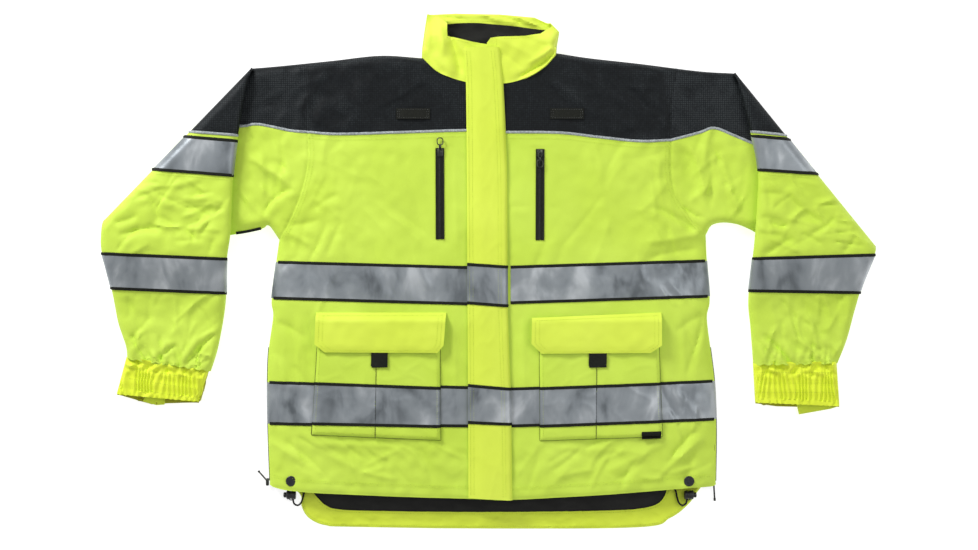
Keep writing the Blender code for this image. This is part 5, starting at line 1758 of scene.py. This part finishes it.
def hem_fittings(side):
    """The snap, the cord lock with its button, and the side vent's zip with slider and pull."""
    sign = SIGN[side]
    height = front(side)
    low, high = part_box(f"snap_cap_{side}")
    centre = ((low.x + high.x) / 2, (low.y + high.y) / 2)
    ground = float(height(np.array([centre[0]]), np.array([centre[1]]))[0])
    radius = (high.x - low.x) / 2 * 1.08
    profile = [(radius * 0.90, 0.0), (radius, 0.0006), (radius, 0.0013), (radius * 0.94, 0.0018),
               (radius * 0.80, 0.0020), (radius * 0.72, 0.0017), (radius * 0.60, 0.0018), (radius * 0.3, 0.0020)]
    points, faces = turned(profile, (*centre, ground + 0.0001))
    make_piece(f"snap_cap_round_{side}", points, faces, "snap", hold_on(f"front_{side}"), (f"snap_cap_{side}",))

    low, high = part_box(f"cord_lock_{side}")
    middle = (low + high) / 2 + LOCK_DROOP
    half, barrel = (high.x - low.x) / 2, (high.z - low.z) / 2 * 1.12
    profile = [(barrel * 0.80, -half), (barrel, -half + 0.0012), (barrel, -half * 0.45), (barrel * 0.88, -half * 0.35),
               (barrel * 0.88, half * 0.05), (barrel, half * 0.15), (barrel, half - 0.0012), (barrel * 0.84, half)]
    points, faces = turned(profile, tuple(middle), "X", 28)
    eye = pull_ring((middle.x, low.y + LOCK_DROOP.y + 0.0002, middle.z), 0.0050, 0.0040, 0.0008)
    make_piece(f"cord_lock_body_{side}", *joined([(points, faces), eye]), "plastic", hold_on("shell"),
               (f"cord_lock_{side}",))
    low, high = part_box(f"lock_button_{side}")
    middle = (low + high) / 2 + LOCK_DROOP
    half, barrel = (high.x - low.x) / 2, (high.z - low.z) / 2
    profile = [(barrel * 0.9, -half), (barrel, -half + 0.0005), (barrel, half - 0.0012), (barrel * 0.9, half - 0.0004),
               (barrel * 0.6, half)]
    if sign < 0:
        profile = [(r, -rise) for r, rise in reversed(profile)]
    points, faces = turned(profile, tuple(middle), "X", 24)
    make_piece(f"lock_button_cap_{side}", points, faces, "plastic", hold_on(f"lock_button_{side}"),
               (f"lock_button_{side}",))
    side_vent(side)


def side_vent(side):
    """The side vent's zip along the body's edge, with its slider and rod pull."""
    sign = SIGN[side]
    edge = part_of(spline(SIDE[side]), -0.1220, -0.3370)
    rows = []
    for out, z in ((-0.0030, 0.0150), (-0.0008, 0.0130), (0.0003, 0.0092), (0.0003, 0.0072), (-0.0008, 0.0040),
                   (-0.0030, 0.0022)):
        rows.append(np.column_stack([edge + np.array([sign * out, 0.0]), np.full(len(edge), z)]))
    points = np.stack(rows, 1).reshape(-1, 3)
    count = len(rows)
    faces = []
    for k in range(len(edge) - 1):
        for c in range(count - 1):
            a = k * count + c
            faces.append((a, a + 1, a + count + 1, a + count))
    faces = np.array(faces)
    if (normals_of(points, faces)[:, 0].sum() > 0) != (sign > 0):
        faces = faces[:, ::-1]
    points, faces = shell(points, faces, 0.0, 0.0009)
    make_piece(f"vent_zip_tape_{side}", points, faces, "zip", hold_on("shell"), (f"side_zip_{side}",))
    coil = np.column_stack([edge + np.array([sign * 0.0008, 0.0]), np.full(len(edge), 0.0082)])
    points, faces = tube_mesh(coil, 0.0009, 8)
    make_piece(f"vent_zip_coil_{side}", points, faces, "plastic", hold_on("shell"))
    low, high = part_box(f"side_slider_{side}")
    body = block_mesh(tuple(low), tuple(high), 0.22)
    outside = high.x if sign > 0 else low.x
    start = (outside - sign * 0.0008, high.y - 0.0030, 0.0085)
    if side == RIGHT:
        end = (outside - sign * 0.0010 - 0.0115, high.y + 0.0100, 0.0100)
    else:
        end = (outside + 0.0012, low.y - 0.0200, 0.0060)
    run = np.linspace(0, 1, 8)[:, None]
    rod = np.array(start) + (np.array(end) - np.array(start)) * run
    rod = tube_mesh(rod, 0.0014, 8)
    knob = tube_mesh(np.array(end) + (np.array(end) - np.array(start)) * np.linspace(0, 0.16, 3)[:, None], 0.0019, 10)
    make_piece(f"vent_slider_{side}", *joined([body, rod, knob]), "metal", hold_on(f"side_slider_{side}"),
               (f"side_slider_{side}",))


CORD_HALF = [(0.0, -0.3455, 0.0072), (0.1400, -0.3460, 0.0072), (0.2700, -0.3455, 0.0072),
             (0.2900, -0.3465, 0.0074), (0.2985, -0.3520, 0.0082), (0.3010, -0.3620, 0.0092),
             (0.3040, -0.3720, 0.0104), (0.3095, -0.3765, 0.0114), (0.3155, -0.3735, 0.0118),
             (0.3170, -0.3664, 0.0120)]


def hem_cord():
    """The elastic cord through the hem, looped at each cord lock."""
    route = [(-x, y, z) for x, y, z in reversed(CORD_HALF[1:])] + CORD_HALF
    path = spline(route, 0.0030)
    points, faces = tube_mesh(path, 0.0015, 10)
    piece = make_piece("hem_elastic_cord", points, faces, "cord", hold_on("shell"), ("hem_drawcord",))


def pocket_label():
    """A blank woven label sewn to the left pocket's lower corner."""
    height = pocket_height(LEFT)
    corners = [(0.2420, -0.2560), (0.2730, -0.2550), (0.2733, -0.2672), (0.2422, -0.2684), (0.2420, -0.2560)]
    outline = loop_of(straight(corners, 0.0020)[:-1])
    sheet("pocket_blank_label", outline, height, "trim", hold_on("front_left"), lift=0.0014, thick=0.0008,
          grain=0.0022, growth=1.1)


def main_zip():
    """The main zip's two tapes under the flap, its teeth and its slider."""
    for side in SIDES:
        height = front(side)
        x = SIGN[side] * 0.0075
        line = straight([(x, 0.3560 if side == LEFT else 0.3500), (x, -0.3560)], 0.0060)
        strips(f"main_zip_tape_{side}", [line], height, "zip", hold_on(f"front_{side}"), width=0.0120,
               lift=0.0010, thick=0.0010, columns=4, replaces=(f"zip_tape_{side}",))
    line = straight([(-0.0008, 0.3480), (-0.0008, -0.3560)], 0.01)
    zip_teeth("main_zip_teeth", line, front(RIGHT), hold_on("front_right"), 0.0012, 0.0024)
    low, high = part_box("main_slider")
    block = block_mesh((low.x, low.y - 0.0030, low.z), (high.x, high.y - 0.0080, high.z), 0.3)
    make_piece("main_slider_body", *block, "metal", hold_on("main_slider"), ("main_slider",))


def cad_looks():
    """The CAD nodes that stay in view get the black woven trim material too."""
    for name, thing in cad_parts.items():
        if thing.hide_render:
            continue
        thing.data.materials.clear()
        thing.data.materials.append(LOOKS["trim"][0])

camera_and_light()
for side in SIDES:
    body_front(side)
    folded_sleeve(side)
    fold_bridge(side)
    cuff(side)
    cuff_tab(side)
    pocket(side)
    pocket_flap(side)
    chest_zip(side)
    mic_tab(side)
    hem_fittings(side)
storm_flap()
collar()
main_zip()
hem_cord()
pocket_label()
coat_back()
inside()
cad_looks()
